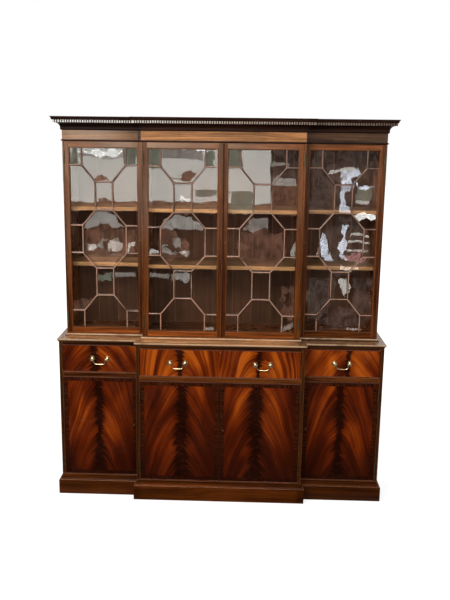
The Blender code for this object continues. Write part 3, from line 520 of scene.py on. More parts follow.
class Wiring:
    """Adds nodes to one tree and links them, so that a finish reads from top to bottom."""

    def __init__(self, tree):
        self.tree = tree

    def add(self, kind, inputs=None, output=0, **settings):
        node = self.tree.nodes.new(kind)
        for name, value in settings.items():
            setattr(node, name, value)
        self.fill(node, inputs or {})
        return node.outputs[output]

    def fill(self, node, inputs):
        for key, value in inputs.items():
            if isinstance(value, bpy.types.NodeSocket):
                self.tree.links.new(value, node.inputs[key])
            else:
                node.inputs[key].default_value = value

    def maths(self, operation, *values, clamp=False):
        return self.add("ShaderNodeMath", dict(enumerate(values)), operation=operation, use_clamp=clamp)

    def times(self, first, second, clamp=False):
        return self.maths("MULTIPLY", first, second, clamp=clamp)

    def plus(self, first, second, clamp=False):
        return self.maths("ADD", first, second, clamp=clamp)

    def minus(self, first, second):
        return self.maths("SUBTRACT", first, second)

    def absolute(self, value):
        return self.maths("ABSOLUTE", value)

    def object_place(self):
        return self.add("ShaderNodeTexCoord", output=3)

    def recorded(self, name):
        """A number that the mesh holds: where the pale of wear and painted highlights goes, or how light a
        board is, painted light and shade included.
        """
        return self.add("ShaderNodeAttribute", output=2, attribute_name=name)

    def split(self, vector):
        node = self.tree.nodes.new("ShaderNodeSeparateXYZ")
        self.tree.links.new(vector, node.inputs[0])
        return tuple(node.outputs)

    def combine(self, x, y, z):
        return self.add("ShaderNodeCombineXYZ", {0: x, 1: y, 2: z})

    def stretch(self, vector, scale):
        return self.add("ShaderNodeVectorMath", {0: vector, 1: scale}, operation="MULTIPLY")

    def dim(self, colour, factor):
        return self.add("ShaderNodeVectorMath", {0: colour, "Scale": factor}, operation="SCALE")

    def grained(self, vector, scale, **settings):
        """A noise over a place that is stretched by three factors."""
        return self.noise(self.stretch(vector, scale), **settings)

    def noise(self, vector, scale=1.0, detail=2.0, roughness=0.5, distortion=0.0):
        inputs = {"Vector": vector, "Scale": scale, "Detail": detail, "Roughness": roughness}
        inputs["Distortion"] = distortion
        return self.add("ShaderNodeTexNoise", inputs)

    def light_path(self, name):
        return self.tree.nodes.new("ShaderNodeLightPath").outputs[name]

    def blend(self, factor, first, second):
        return self.add("ShaderNodeMix", {0: factor, 2: first, 3: second}, data_type="FLOAT")

    def fit(self, value, low, high, to_low=0.0, to_high=1.0, smooth=True):
        kind = "SMOOTHSTEP" if smooth else "LINEAR"
        inputs = {0: value, 1: low, 2: high, 3: to_low, 4: to_high}
        return self.add("ShaderNodeMapRange", inputs, interpolation_type=kind)

    def mix(self, factor, first, second):
        return self.add("ShaderNodeMix", {0: factor, 6: first, 7: second}, output=2, data_type="RGBA")

    def ramp(self, value, stops):
        node = self.tree.nodes.new("ShaderNodeValToRGB")
        self.tree.links.new(value, node.inputs[0])
        points = node.color_ramp.elements
        while len(points) < len(stops):
            points.new(1.0)
        for point, (place, colour) in zip(points, stops):
            point.position = place
            point.color = (*colour, 1.0)
        return node.outputs[0]

    def group(self, tree, inputs):
        node = self.tree.nodes.new("ShaderNodeGroup")
        node.node_tree = tree
        self.fill(node, inputs)
        return node.outputs


def opaque(colour):
    return (*colour[:3], 1.0)


def shade(colour, factor):
    return tuple(channel * factor for channel in colour[:3])


def between(first, second, share):
    return tuple(a + (b - a) * share for a, b in zip(first[:3], second[:3]))


def node_group(name, inputs, outputs, kind="ShaderNodeTree"):
    """A new node group with its sockets, and its wiring with the group's input sockets by name."""
    tree = bpy.data.node_groups.new(name, kind)
    for in_out, sockets in (("INPUT", inputs), ("OUTPUT", outputs)):
        for socket, value in sockets.items():
            tree.interface.new_socket(socket, in_out=in_out, socket_type=f"NodeSocket{value}")
    start = tree.nodes.new("NodeGroupInput")
    end = tree.nodes.new("NodeGroupOutput")
    return tree, Wiring(tree), start.outputs, end


def give(tree, end, results):
    for name, socket in results.items():
        tree.links.new(socket, end.inputs[name])
    return tree


def grain_group():
    """Plain grain along Z: broad bands, finer ribbons, and the short dark lines of open pores."""
    found = bpy.data.node_groups.get("mahogany grain")
    if found:
        return found
    outputs = {"Tone": "Float", "Pores": "Float"}
    tree, w, given, end = node_group("mahogany grain", {"Vector": "Vector"}, outputs)
    place = given["Vector"]
    wander = w.grained(place, (6, 6, 1.5), detail=1)
    shift = w.times(w.minus(wander, 0.5), 0.05)
    x, y, z = w.split(place)
    bent = w.combine(w.plus(x, shift), w.plus(y, shift), z)
    bands = w.grained(bent, (30, 30, 1.1), detail=3)
    ribbons = w.grained(bent, (140, 140, 3.0), detail=2)
    lines = w.grained(bent, (520, 520, 7.0), detail=1)
    tone = w.plus(w.times(bands, 0.55), w.times(ribbons, 0.30))
    tone = w.plus(tone, w.times(lines, 0.15))
    pores = w.grained(place, (1500, 1500, 45), detail=1)
    return give(tree, end, {"Tone": w.fit(tone, 0.34, 0.66), "Pores": w.fit(pores, 0.60, 0.72)})


def polish_group():
    """Age over a polished finish: blotches of gloss, pale edges that are wear and also painted highlights,
    and dark blotches of dirt.
    """
    found = bpy.data.node_groups.get("polish and age")
    if found:
        return found
    inputs = {"Vector": "Vector", "Colour": "Color", "Rubbed Colour": "Color"}
    inputs.update({"Roughness": "Float", "Worn": "Float", "Blotches": "Float"})
    tree, w, given, end = node_group("polish and age", inputs, {"Colour": "Color", "Roughness": "Float"})
    patches = w.grained(given["Vector"], (7, 7, 7), detail=3)
    scratches = w.grained(given["Vector"], (240, 240, 240), detail=2)
    # The pale on marked edges is wear, and on noses, beads and mouldings also a painted highlight
    rubbed = w.times(given["Worn"], w.fit(patches, 0.28, 0.50))
    rubbed = w.times(rubbed, w.fit(scratches, 0.25, 0.50))
    soiled = w.times(w.fit(patches, 0.3, 0.7), given["Blotches"])
    aged = w.mix(soiled, given["Colour"], (0.015, 0.004, 0.002, 1.0))
    colour = w.mix(w.times(rubbed, 0.8), aged, given["Rubbed Colour"])
    rough = w.plus(given["Roughness"], w.fit(patches, 0.3, 0.7, -0.04, 0.08))
    rough = w.plus(rough, w.times(scratches, 0.05))
    rough = w.plus(rough, w.times(rubbed, 0.15), clamp=True)
    return give(tree, end, {"Colour": colour, "Roughness": rough})


def figure_group():
    """The figure of a flame veneer: streaks that leave the heart outwards and down, and the ragged heart."""
    found = bpy.data.node_groups.get("feather figure")
    if found:
        return found
    inputs = dict.fromkeys(("Across", "Up", "Seed", "Sweep", "Bend", "Heart Width"), "Float")
    outputs = dict.fromkeys(FIGURE_PARTS, "Float")
    tree, w, given, end = node_group("feather figure", inputs, outputs)
    spot = w.combine(given["Across"], given["Up"], given["Seed"])
    drift = w.minus(w.grained(spot, (4, 5, 1), detail=1), 0.5)
    ripple = w.minus(w.grained(spot, (15, 15, 1), detail=2), 0.5)
    across = w.plus(given["Across"], w.times(drift, 0.030))
    away = w.absolute(across)
    curve = w.times(w.maths("POWER", away, given["Bend"]), given["Sweep"])
    flow = w.plus(w.plus(given["Up"], curve), w.times(ripple, 0.018))
    side = w.plus(w.times(w.maths("SIGN", across), 7.3), given["Seed"])

    def along(closeness, fading, detail=1):
        return w.noise(w.combine(w.times(flow, closeness), w.times(away, fading), side), detail=detail)

    streaks = w.plus(w.times(along(10, 4), 0.46), w.times(along(48, 5, 2), 0.20))
    fine = w.plus(w.times(along(150, 7, 2), 0.17), w.times(along(420, 12, 2), 0.17))
    streaks = w.plus(streaks, fine)
    threads = along(120, 4)
    bright = w.fit(w.absolute(w.minus(threads, 0.58)), 0.0, 0.018, 1.0, 0.0)
    dark = w.fit(w.absolute(w.minus(threads, 0.43)), 0.0, 0.022, 1.0, 0.0)
    ragged = w.noise(w.combine(w.times(flow, 85), w.times(side, 3), 0.0), detail=4)
    slow = w.noise(w.combine(w.times(given["Up"], 9), given["Seed"], 5.0), detail=1)
    width = w.times(given["Heart Width"], w.fit(slow, 0.3, 0.7, 0.7, 1.25))
    width = w.times(width, w.fit(ragged, 0.32, 0.68, 0.45, 1.6))
    width = w.times(width, w.fit(given["Up"], -0.30, -0.05, 2.0, 1.0))
    heart = w.fit(w.maths("DIVIDE", away, width), 0.6, 1.5, 1.0, 0.0)
    parts = (w.fit(streaks, 0.34, 0.66), bright, dark, heart, away)
    return give(tree, end, dict(zip(FIGURE_PARTS, parts)))


def border_group():
    """A border of cross-grained veneer mitred at its corners, and the dark line where it meets the field."""
    found = bpy.data.node_groups.get("crossband")
    if found:
        return found
    inputs = dict.fromkeys(("Across", "Up", "Half Width", "Half Height", "Band"), "Float")
    outputs = dict.fromkeys(("Border", "Tone", "Line"), "Float")
    tree, w, given, end = node_group("crossband", inputs, outputs)
    side = w.minus(given["Half Width"], w.absolute(given["Across"]))
    end_edge = w.minus(given["Half Height"], w.absolute(given["Up"]))
    nearest = w.maths("MINIMUM", side, end_edge)
    upright = w.maths("LESS_THAN", side, end_edge)
    strokes_up = w.noise(w.combine(w.times(given["Up"], 170), w.times(side, 14), 1.0), detail=2)
    strokes_on = w.noise(w.combine(w.times(given["Across"], 170), w.times(end_edge, 14), 9.0), detail=2)
    tone = w.blend(upright, strokes_on, strokes_up)
    border = w.fit(nearest, given["Band"], w.minus(given["Band"], 0.0008), 0.0, 1.0)
    gap = w.absolute(w.minus(nearest, given["Band"]))
    line = w.fit(gap, 0.0004, 0.0016, 1.0, 0.0)
    return give(tree, end, {"Border": border, "Tone": w.fit(tone, 0.3, 0.7), "Line": line})


def new_material(name):
    material = bpy.data.materials.new(name)
    material.use_nodes = True
    material.node_tree.nodes.clear()
    w = Wiring(material.node_tree)
    return material, w


def finish_with(material, w, shader):
    """Leads a shader to the material's output."""
    end = w.tree.nodes.new("ShaderNodeOutputMaterial")
    w.tree.links.new(shader, end.inputs[0])
    return material


def polished(material, w, place, colour, rubbed, roughness, worn, blotches, gloss, **others):
    """Ends a polished finish: its wear and blotches, and its shader with any other inputs."""
    inputs = {"Vector": place, "Colour": colour, "Rubbed Colour": rubbed, "Roughness": roughness}
    aged = w.group(polish_group(), {**inputs, "Worn": worn, "Blotches": blotches})
    inputs = {"Base Color": aged["Colour"], "Roughness": aged["Roughness"], "Specular IOR Level": gloss}
    return finish_with(material, w, w.add("ShaderNodeBsdfPrincipled", {**inputs, **others}))


def wood(
    name, dark, light, roughness, gloss=0.35, rubbed=None, blotches=0.3, highlight_fade=None, sheen=None, lit=None
):
    """A polished wood that reads each board's own grain, tone and wear from the mesh, which on some boards
    carry painted light, shade and highlights.

    Where a pair of heights is given for the highlights, the pale on its edges, wear and a painted highlight,
    is full at the first and little at the second.
    Where an axis, two places and a share are given for the sheen, a greyish painted sheen grows from nothing
    at the first place to that share at the second, more on lighter boards and towards the left, and the wood
    is painted darker at the first place and lighter at the second.
    Where lit is a list of shares of the width and factors, painted light and shade make it lighter or darker
    along the front by these.
    """
    found = bpy.data.materials.get(name)
    if found:
        return found
    material, w = new_material(name)
    place = w.add("ShaderNodeAttribute", output=1, attribute_name=GRAIN)
    worn = w.recorded(WEAR_AND_HIGHLIGHT)
    tone = w.recorded(TONE)
    grain = w.group(grain_group(), {"Vector": place})
    x, _, z = w.split(w.object_place())
    stops = [(0.0, dark[:3]), (0.45, between(dark, light, 0.40)), (1.0, light[:3])]
    colour = w.ramp(grain["Tone"], stops)
    colour = w.mix(w.times(grain["Pores"], 0.35), colour, opaque(shade(dark, 0.5)))
    colour = w.dim(colour, w.plus(tone, 1.0))
    # Painted sheen and painted light along the axis, the sheen stronger towards the left
    if sheen:
        axis, start, stop, share = sheen
        spot = x if axis == "X" else z
        light_board = w.plus(w.times(w.maths("MAXIMUM", tone, 0.0), 1.4), 1.0)
        patches = w.fit(w.noise(place, 2.2, detail=3), 0.35, 0.65, 0.45, 1.3)
        sheen_mix = w.times(w.times(w.fit(spot, start, stop, 0.0, share), light_board), patches)
        sheen_mix = w.times(sheen_mix, w.fit(x, -UPPER.half, UPPER.half, 1.12, 0.32), clamp=True)
        colour = w.dim(colour, w.fit(spot, start, stop, 0.8, 1.15))
        colour = w.mix(sheen_mix, colour, SHEEN_COLOUR)
    # Painted light and shade along the front
    if lit:
        across = w.fit(x, -UPPER.half, UPPER.half, 0.0, 1.0, smooth=False)
        colour = w.dim(colour, w.ramp(across, [(share, (factor,) * 3) for share, factor in lit]))
    # Painted highlight: the pale on edges is full low down and little high up
    if highlight_fade:
        worn = w.times(worn, w.fit(z, highlight_fade[0], highlight_fade[1], 1.0, 0.55))
    pores = w.minus(1.0, grain["Pores"])
    bump = w.add("ShaderNodeBump", {"Strength": 0.25, "Distance": 0.0002, "Height": pores})
    rubbed = opaque(rubbed or between(light, RUBBED, 0.45))
    return polished(material, w, place, colour, rubbed, roughness, worn, blotches, gloss, Normal=bump)


# Painted sheen and painted light: greyer and lighter high on the top and towards the left, darker low down
def mahogany(colours):
    return wood(
        "mahogany_polished", colours.mahogany_dark, colours.mahogany_light, 0.24, gloss=0.05,
        rubbed=(0.30, 0.11, 0.04), sheen=MAHOGANY_SHEEN,
    )


# Painted sheen towards the frieze's left end, and painted light and shade along the front
def frieze_wood():
    return wood(
        "frieze_mahogany", (0.080, 0.032, 0.009), (0.54, 0.235, 0.088), 0.22, gloss=0.22, blotches=0.15,
        sheen=FRIEZE_SHEEN, lit=FRIEZE_LIT,
    )


# Painted shade: the cornice's bead and crown and the backing behind the dentils are near-black
def crown_wood():
    return wood(
        "crown_mahogany", (0.005, 0.0018, 0.0009), (0.028, 0.0085, 0.0038), 0.30, gloss=0.09,
        rubbed=(0.06, 0.026, 0.016),
    )


# The pale cream on the nose and foot moulding is a painted highlight as well as wear, and painted light and
# shade run along the front
def waist_wood():
    return wood(
        "waist_mahogany", (0.085, 0.034, 0.011), (0.50, 0.235, 0.095), 0.26, gloss=0.14,
        rubbed=(0.66, 0.44, 0.27), lit=WAIST_LIT,
    )


# The pale on the plinth's moulded step is a painted highlight as well as wear, and painted light and shade
# run along the front
def plinth_wood(colours):
    return wood(
        "plinth_mahogany", shade(colours.plinth, 0.35), shade(colours.plinth, 1.8), 0.30, gloss=0.06,
        rubbed=(0.27, 0.13, 0.065), lit=PLINTH_LIT,
    )


# Painted shade: the shelf boards are darker than their pale lipping, so that the tops read as shaded and the
# front edges as lit
def shelf_wood():
    return wood("shelf_mahogany", (0.090, 0.042, 0.018), (0.26, 0.130, 0.060), 0.45, gloss=0.2)


def lipping_wood(colours):
    return wood("shelf_lipping", shade(colours.shelf, 0.55), shade(colours.shelf, 1.1), 0.40, gloss=0.2)


def drawer_lining(colours):
    return wood("drawer_lining", shade(colours.shelf, 0.7), shade(colours.shelf, 1.3), 0.6, gloss=0.2)


def back_wood(colours):
    return wood("back_wood", shade(colours.back, 0.7), shade(colours.back, 1.3), 0.55, gloss=0.15)


# The pale on the bars' noses is a painted highlight as well as wear, stronger on the lower bars
def bar_wood():
    return wood(
        "glazing_bar_wood", (0.016, 0.006, 0.003), (0.080, 0.027, 0.010), 0.22, gloss=0.38,
        rubbed=(0.68, 0.38, 0.25), blotches=0.1, highlight_fade=BAR_HIGHLIGHT_FADE,
    )


# The pale on the beads is a painted highlight as well as wear
def bead_wood():
    return wood(
        "cock_bead_mahogany", (0.022, 0.006, 0.0025), (0.060, 0.016, 0.007), 0.36, gloss=0.12,
        rubbed=(0.24, 0.095, 0.060),
    )


def dentil_wood():
    """Painted light: pale at the left end and browner towards the right, on faces and edges alike."""
    found = bpy.data.materials.get("dentil_wood")
    if found:
        return found
    material, w = new_material("dentil_wood")
    place = w.add("ShaderNodeAttribute", output=1, attribute_name=GRAIN)
    worn = w.recorded(WEAR_AND_HIGHLIGHT)
    grain = w.group(grain_group(), {"Vector": place})
    x, _, _ = w.split(w.object_place())
    lit_share = w.fit(x, -UPPER.half, UPPER.half, 0.0, 1.0, smooth=False)
    pale = w.ramp(lit_share, DENTILS_PAINTED_LIGHT)
    colour = w.dim(pale, w.fit(grain["Tone"], 0.0, 1.0, 0.75, 1.1))
    return polished(material, w, place, colour, pale, 0.3, worn, 0.15, gloss=0.4)


def flame(name, colours, centre, half, figure, band):
    """A flame veneer on one front, with a crossbanded border if that has a width.

    The centre and half sizes are those of the front in X and Z.
    """
    material, w = new_material(name)
    place = w.object_place()
    x, _, z = w.split(place)
    up = w.minus(z, centre[1])
    across = w.minus(x, centre[0])
    found = []
    for i, (heart_x, width) in enumerate(figure.hearts):
        inputs = {"Across": w.minus(x, heart_x), "Up": up, "Seed": figure.seed + 11.0 * i}
        inputs.update({"Sweep": figure.sweep, "Bend": figure.bend, "Heart Width": width})
        found.append(w.group(figure_group(), inputs))
    parts = [found[0][part] for part in FIGURE_PARTS]
    if len(found) > 1:
        swap = w.maths("GREATER_THAN", x, sum(place for place, _ in figure.hearts) / len(figure.hearts))
        parts = [w.blend(swap, part, found[1][key]) for part, key in zip(parts, FIGURE_PARTS)]
    streaks, bright_threads, dark_threads, heart, away = parts
    spot = w.combine(x, figure.seed, z)
    bright = tuple(colours.flame)
    dark = tuple(colours.heart)
    stops = [
        (0.0, dark),
        (0.25, (0.058, 0.0070, 0.0010)),
        (0.50, (0.155, 0.0190, 0.0014)),
        (0.75, (0.310, 0.0500, 0.0026)),
        (1.0, bright),
    ]
    shoulder = w.times(w.fit(away, 0.01, 0.06, 0.8, 1.0), w.fit(away, 0.09, 0.20, 1.0, 0.68))
    # Painted shade darkens the foot, and painted light makes one side lighter
    foot_shade = w.fit(up, -half[1], half[1] * 0.1, 1.0 - figure.drop, 1.0)
    tilt = w.fit(across, -half[0], half[0], 1.0 - figure.lean, 1.0 + figure.lean, smooth=False)
    patch = w.fit(w.grained(spot, (8, 1, 4), detail=1), 0.32, 0.68, 0.72, 1.22)
    level = w.times(w.times(shoulder, foot_shade), w.times(tilt, patch))
    level = w.times(level, figure.light)
    body = w.fit(streaks, 0.0, 1.0, 0.26, 0.96, smooth=False)
    colour = w.ramp(w.times(body, level, clamp=True), stops)
    colour = w.dim(colour, w.fit(dark_threads, 0.0, 1.0, 1.0, 0.60))
    colour = w.dim(colour, w.fit(bright_threads, 0.0, 1.0, 1.0, 1.55))
    mottle = w.grained(spot, (26, 1, 120), detail=2)
    heart_colour = w.mix(w.fit(mottle, 0.5, 0.75, 0.0, 0.6), opaque(dark), (0.055, 0.012, 0.003, 1.0))
    colour = w.mix(w.times(heart, 0.93), colour, heart_colour)
    if band:
        inputs = {"Across": across, "Up": up, "Half Width": half[0], "Half Height": half[1], "Band": band}
        edge = w.group(border_group(), inputs)
        stops = [(0.0, dark), (0.55, (0.040, 0.0072, 0.0015)), (1.0, (0.098, 0.020, 0.004))]
        border = w.ramp(w.times(edge["Tone"], foot_shade), stops)
        colour = w.mix(edge["Border"], colour, border)
        colour = w.mix(w.times(edge["Line"], 0.6), colour, opaque(dark))
    return polished(material, w, spot, colour, (0.3, 0.1, 0.03, 1.0), 0.20, 0.0, 0.1, gloss=0.16)


def brass(colours, name="brass_lacquered", bright=1.0, roughness=0.18, dirt=0.6):
    """Lacquered brass, darker and duller where dirt has settled."""
    found = bpy.data.materials.get(name)
    if found:
        return found
    material, w = new_material(name)
    place = w.object_place()
    patches = w.grained(place, (180, 180, 180), detail=4, roughness=0.6)
    specks = w.grained(place, (900, 900, 900), detail=2)
    soil = w.times(w.fit(patches, 0.42, 0.68), dirt)
    soiled = opaque(shade((0.10, 0.055, 0.025), bright))
    colour = w.mix(soil, opaque(shade(colours.brass, bright)), soiled)
    rough = w.plus(w.times(soil, 0.35), w.fit(specks, 0.3, 0.8, roughness, roughness + 0.10))
    bump = w.add("ShaderNodeBump", {"Strength": 0.12, "Distance": 0.0002, "Height": patches})
    inputs = {"Base Color": colour, "Roughness": rough, "Metallic": 1.0, "Normal": bump}
    return finish_with(material, w, w.add("ShaderNodeBsdfPrincipled", inputs))


def glass():
    """Old window glass, slightly wavy. Lamps reach what lies behind it."""
    found = bpy.data.materials.get("old_glass")
    if found:
        return found
    material, w = new_material("old_glass")
    place = w.object_place()
    long_waves = w.grained(place, (9, 9, 5), detail=1)
    short_waves = w.grained(place, (34, 34, 16), detail=1)
    height = w.plus(long_waves, w.times(short_waves, 0.16))
    bump = w.add("ShaderNodeBump", {"Strength": 1.0, "Distance": 0.00035, "Height": height})
    tint = w.mix(w.grained(place, (3, 3, 3), detail=1), (0.94, 0.97, 0.95, 1.0), (0.98, 0.99, 0.97, 1.0))
    inputs = {"Base Color": tint, "Roughness": 0.0, "IOR": 1.5, "Transmission Weight": 1.0, "Normal": bump}
    shader = w.add("ShaderNodeBsdfPrincipled", inputs)
    clear = w.add("ShaderNodeBsdfTransparent")
    both = w.add("ShaderNodeMixShader", {0: w.light_path("Is Shadow Ray"), 1: shader, 2: clear})
    return finish_with(material, w, both)


# Shapes


def stand(name, data):
    """A new object in the scene."""
    obj = bpy.data.objects.new(name, data)
    bpy.context.scene.collection.objects.link(obj)
    return obj


def mesh_from(name, points, edges=(), faces=()):
    mesh = bpy.data.meshes.new(name)
    mesh.from_pydata(points, edges, faces)
    return mesh


def plain_mesh(bm, name, sharp=None):
    """Ends the making of a mesh. Where an angle is told, edges sharper than that stay sharp."""
    mesh = bpy.data.meshes.new(name)
    bm.to_mesh(mesh)
    bm.free()
    if sharp:
        mesh.set_sharp_from_angle(angle=math.radians(sharp))
    return mesh


def closed_body(bm, rings):
    """Faces from each ring of vertices to the next, and over both ends."""
    faces = [bm.faces.new(rings[0]), bm.faces.new(rings[-1])]
    for ring, follower in zip(rings, rings[1:]):
        for k in range(len(ring)):
            m = (k + 1) % len(ring)
            faces.append(bm.faces.new((ring[k], ring[m], follower[m], follower[k])))
    for face in faces:
        face.smooth = True
    return faces


class Stock:
    """Timber cut into one mesh. Each board keeps its own stretch of grain, which the finish reads."""

    def __init__(self, seed, rounding):
        self.bm = bmesh.new()
        self.find_layers()
        self.chance = random.Random(seed)
        self.rounding = rounding

    def find_layers(self):
        layers = self.bm.loops.layers
        for kind, name in ((layers.float_vector, GRAIN), (layers.float, WEAR_AND_HIGHLIGHT), (layers.float, TONE)):
            if not kind.get(name):
                kind.new(name)
        self.grain, self.worn, self.tone = layers.float_vector[GRAIN], layers.float[WEAR_AND_HIGHLIGHT], layers.float[TONE]

    def take_board(self, tone=0.0):
        """Takes up the next board: where it was cut from, and how light it is beside its neighbours."""
        self.offset = Vector([self.chance.uniform(-GRAIN_SPREAD, GRAIN_SPREAD) for _ in range(3)])
        self.board_tone = tone + self.chance.uniform(-TONE_SPREAD, TONE_SPREAD)

    def mark(self, faces, along, worn=0.0):
        """Lays the grain of the board in hand over faces, along X, Y or Z or a direction in the XZ plane."""
        for face in faces:
            face.smooth = True
            for loop in face.loops:
                loop[self.grain] = turned_grain(loop.vert.co, along) + self.offset
                loop[self.worn] = worn
                loop[self.tone] = self.board_tone

    def add_board(self, low, high, along, rounding=None, tone=0.0):
        """A board with rounded edges between two corners."""
        low, high = Vector(low), Vector(high)
        rounding = self.rounding if rounding is None else rounding
        old = set(self.bm.faces)
        verts = bmesh.ops.create_cube(self.bm, size=1)["verts"]
        bmesh.ops.scale(self.bm, vec=high - low, verts=verts)
        bmesh.ops.translate(self.bm, vec=(low + high) / 2, verts=verts)
        self.end_board(old, verts, rounding, along, tone)

    def end_board(self, old, verts, rounding, along, tone):
        """Rounds the edges of a new board and lays its grain, on every face that isn't an old one."""
        strips = self.round_edges([edge for vert in verts for edge in vert.link_edges], rounding)
        self.take_board(tone)
        self.mark([face for face in self.bm.faces if face not in old], along)
        self.mark(strips, along, 1.0)

    def round_edges(self, edges, rounding):
        if not rounding:
            return []
        chosen = list(dict.fromkeys(edges))
        return bmesh.ops.bevel(
            self.bm, geom=chosen, offset=rounding, segments=2, profile=0.5, affect="EDGES", clamp_overlap=True
        )["faces"]

    def add_prism(self, outline, axis, low, high, along, rounding=0.0, tone=0.0):
        """An outline stood up along X, Y or Z between two places, its points given in the other two axes."""
        other = [k for k in range(3) if k != "XYZ".index(axis)]
        old = set(self.bm.faces)
        rings = []
        for place in (low, high):
            ring = []
            for pair in outline:
                point = [place, place, place]
                point[other[0]], point[other[1]] = pair
                ring.append(self.bm.verts.new(point))
            rings.append(ring)
        bmesh.ops.recalc_face_normals(self.bm, faces=closed_body(self.bm, rings))
        self.end_board(old, rings[0] + rings[1], rounding, along, tone)

    def add_run(
        self, rings, wear_and_highlight_shares=(), closed=False, tone=0.0, tones=None, share_tones=None, wear_and_highlight_ways="XYZ"
    ):
        """A moulding led through a ring of its section at each corner, with the grain along each length."""
        rows = [[self.bm.verts.new(point) for point in ring] for ring in rings]
        pairs = list(zip(rows, rows[1:]))
        if closed:
            pairs.append((rows[-1], rows[0]))
        faces = []
        for i, (row, follower) in enumerate(pairs):
            step = follower[0].co - row[0].co
            along = "XYZ"[max(range(3), key=lambda axis: abs(step[axis]))]
            self.take_board(tones[i] if tones else tone)
            board_tone = self.board_tone
            for k in range(len(row)):
                m = (k + 1) % len(row)
                face = self.bm.faces.new((row[k], row[m], follower[m], follower[k]))
                self.board_tone = (share_tones or {}).get(k, board_tone)
                self.mark([face], along, 1.0 if k in wear_and_highlight_shares and along in wear_and_highlight_ways else 0.0)
                faces.append(face)
        if not closed:
            caps = [self.bm.faces.new(rows[0]), self.bm.faces.new(rows[-1])]
            self.mark(caps, "Y")
            faces += caps
        bmesh.ops.recalc_face_normals(self.bm, faces=faces)

    def mesh(self, name):
        return plain_mesh(self.bm, name, SHARP_ANGLE)

    def place(self, name, material, replaced=(), body="case", slot="mahogany"):
        return place_piece(name, self.mesh(name), material, body, replaced)


def turned_grain(point, along):
    """A point in a board's own directions, with the board's length as the last."""
    if isinstance(along, str):
        return Vector([point[axis] for axis in TURNS[along]])
    across = Vector((-along.z, 0, along.x))
    return Vector((point.dot(across), point.y, point.dot(along)))


def place_piece(name, mesh, material, body, replaced=(), weighted=True):
    """Stands a mesh in the scene with its finish, the body that moves it and the nodes it stands for."""
    obj = stand(name, mesh)
    mesh.materials.clear()
    mesh.materials.append(material)
    if weighted:
        normals = obj.modifiers.new("even_normals", "WEIGHTED_NORMAL")
        normals.keep_sharp = True
    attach(obj, body)
    if replaced:
        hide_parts(*replaced)
    return obj


def corners(plan, out=0.0):
    """The corners of a stepped plan from back left to back right, moved out from the front and sides."""
    half, centre = plan.half + out, plan.centre + out
    wing, middle = plan.front - out, plan.front - BREAK - out
    left = [(-half, plan.back), (-half, wing), (-centre, wing), (-centre, middle)]
    return left + [(-x, y) for x, y in reversed(left)]


def run_rings(plan, profile):
    """A moulding's section of projection and height, at each corner of the stepped plan."""
    rows = [[(x, y, z) for x, y in corners(plan, out)] for out, z in profile]
    return [list(ring) for ring in zip(*rows)]


def arc(centre, radii, start, end, steps):
    """Points on a quarter or more of an ellipse, as pairs."""
    angles = [math.radians(start + (end - start) * i / steps) for i in range(steps + 1)]
    return [(centre[0] + radii[0] * math.cos(a), centre[1] + radii[1] * math.sin(a)) for a in angles]


def doors():
    """Every door, read from its hinge: extent, plane of its face, side it hangs on and its hinge's axis."""
    found = []
    for joint in frame["joints"]:
        if not joint["child"].endswith("_door"):
            continue
        name = joint["child"].removesuffix("_door")
        node = name + "_door" if name.startswith("lower") else name + "_door_frame"
        low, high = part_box(node)
        hung = LEFT if joint["axis"][2] < 0 else RIGHT
        x, y = joint["pos_m"][0], joint["pos_m"][1]
        edge = x - hung * DOOR_GAP / 2
        sides = (edge, high.x) if hung == LEFT else (low.x, edge)
        face = high.y - DOOR_THICKNESS
        found.append(Door(name, joint["child"], *sides, low.z, high.z, face, hung, (x, y)))
    return found


DOORS = doors()
LOWER_DOORS = [door for door in DOORS if door.name.startswith("lower")]
UPPER_DOORS = [door for door in DOORS if door.name.startswith("upper")]
BAYS = {
    "left": (-(LOWER.half - SIDE_THICKNESS), -LOWER.centre, LOWER.front),
    "centre": (-(LOWER.centre - SIDE_THICKNESS), LOWER.centre - SIDE_THICKNESS, LOWER.front - BREAK),
    "right": (LOWER.centre, LOWER.half - SIDE_THICKNESS, LOWER.front),
}


def make_plinth(sizes, colours):
    """The plinth's boards with their moulded top, open behind for the wall and to the floor."""
    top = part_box("plinth")[1].z
    shoulder = PLINTH_PROJECTION - PLINTH_STEP / 2
    step_top = PLINTH_FACE_HEIGHT + PLINTH_STEP / 2
    hollow = (shoulder - PLINTH_TOP_PROJECTION - PLINTH_FILLET, top - PLINTH_FILLET - step_top)
    inside = PLINTH_PROJECTION - PLINTH_WALL
    profile = [(PLINTH_PROJECTION - sizes.edge_round, 0), (PLINTH_PROJECTION, sizes.edge_round)]
    profile += arc((shoulder, PLINTH_FACE_HEIGHT), (PLINTH_STEP / 2, PLINTH_STEP / 2), 0, 90, 6)
    start = len(profile) - 4
    profile += arc((shoulder - PLINTH_FILLET, step_top + hollow[1]), hollow, 270, 180, 6)
    profile += [(PLINTH_TOP_PROJECTION, top), (inside, top), (inside, 0)]
    stock = Stock(11, sizes.edge_round)
    # The step's round takes the pale of wear and a painted highlight
    stock.add_run(run_rings(LOWER, profile), wear_and_highlight_shares=(start, start + 1, start + 2))
    wall = LOWER.half + inside
    stock.add_board((-wall, LOWER.back - PLINTH_WALL, 0), (wall, LOWER.back, top), "X")
    stock.place("plinth_boards", plinth_wood(colours), ["plinth"], slot="plinth_brown")


def stepped_stock(stock, plan, bottom, top, tone=0.0):
    stock.add_prism(corners(plan), "Z", bottom, top, "X", stock.rounding, tone)


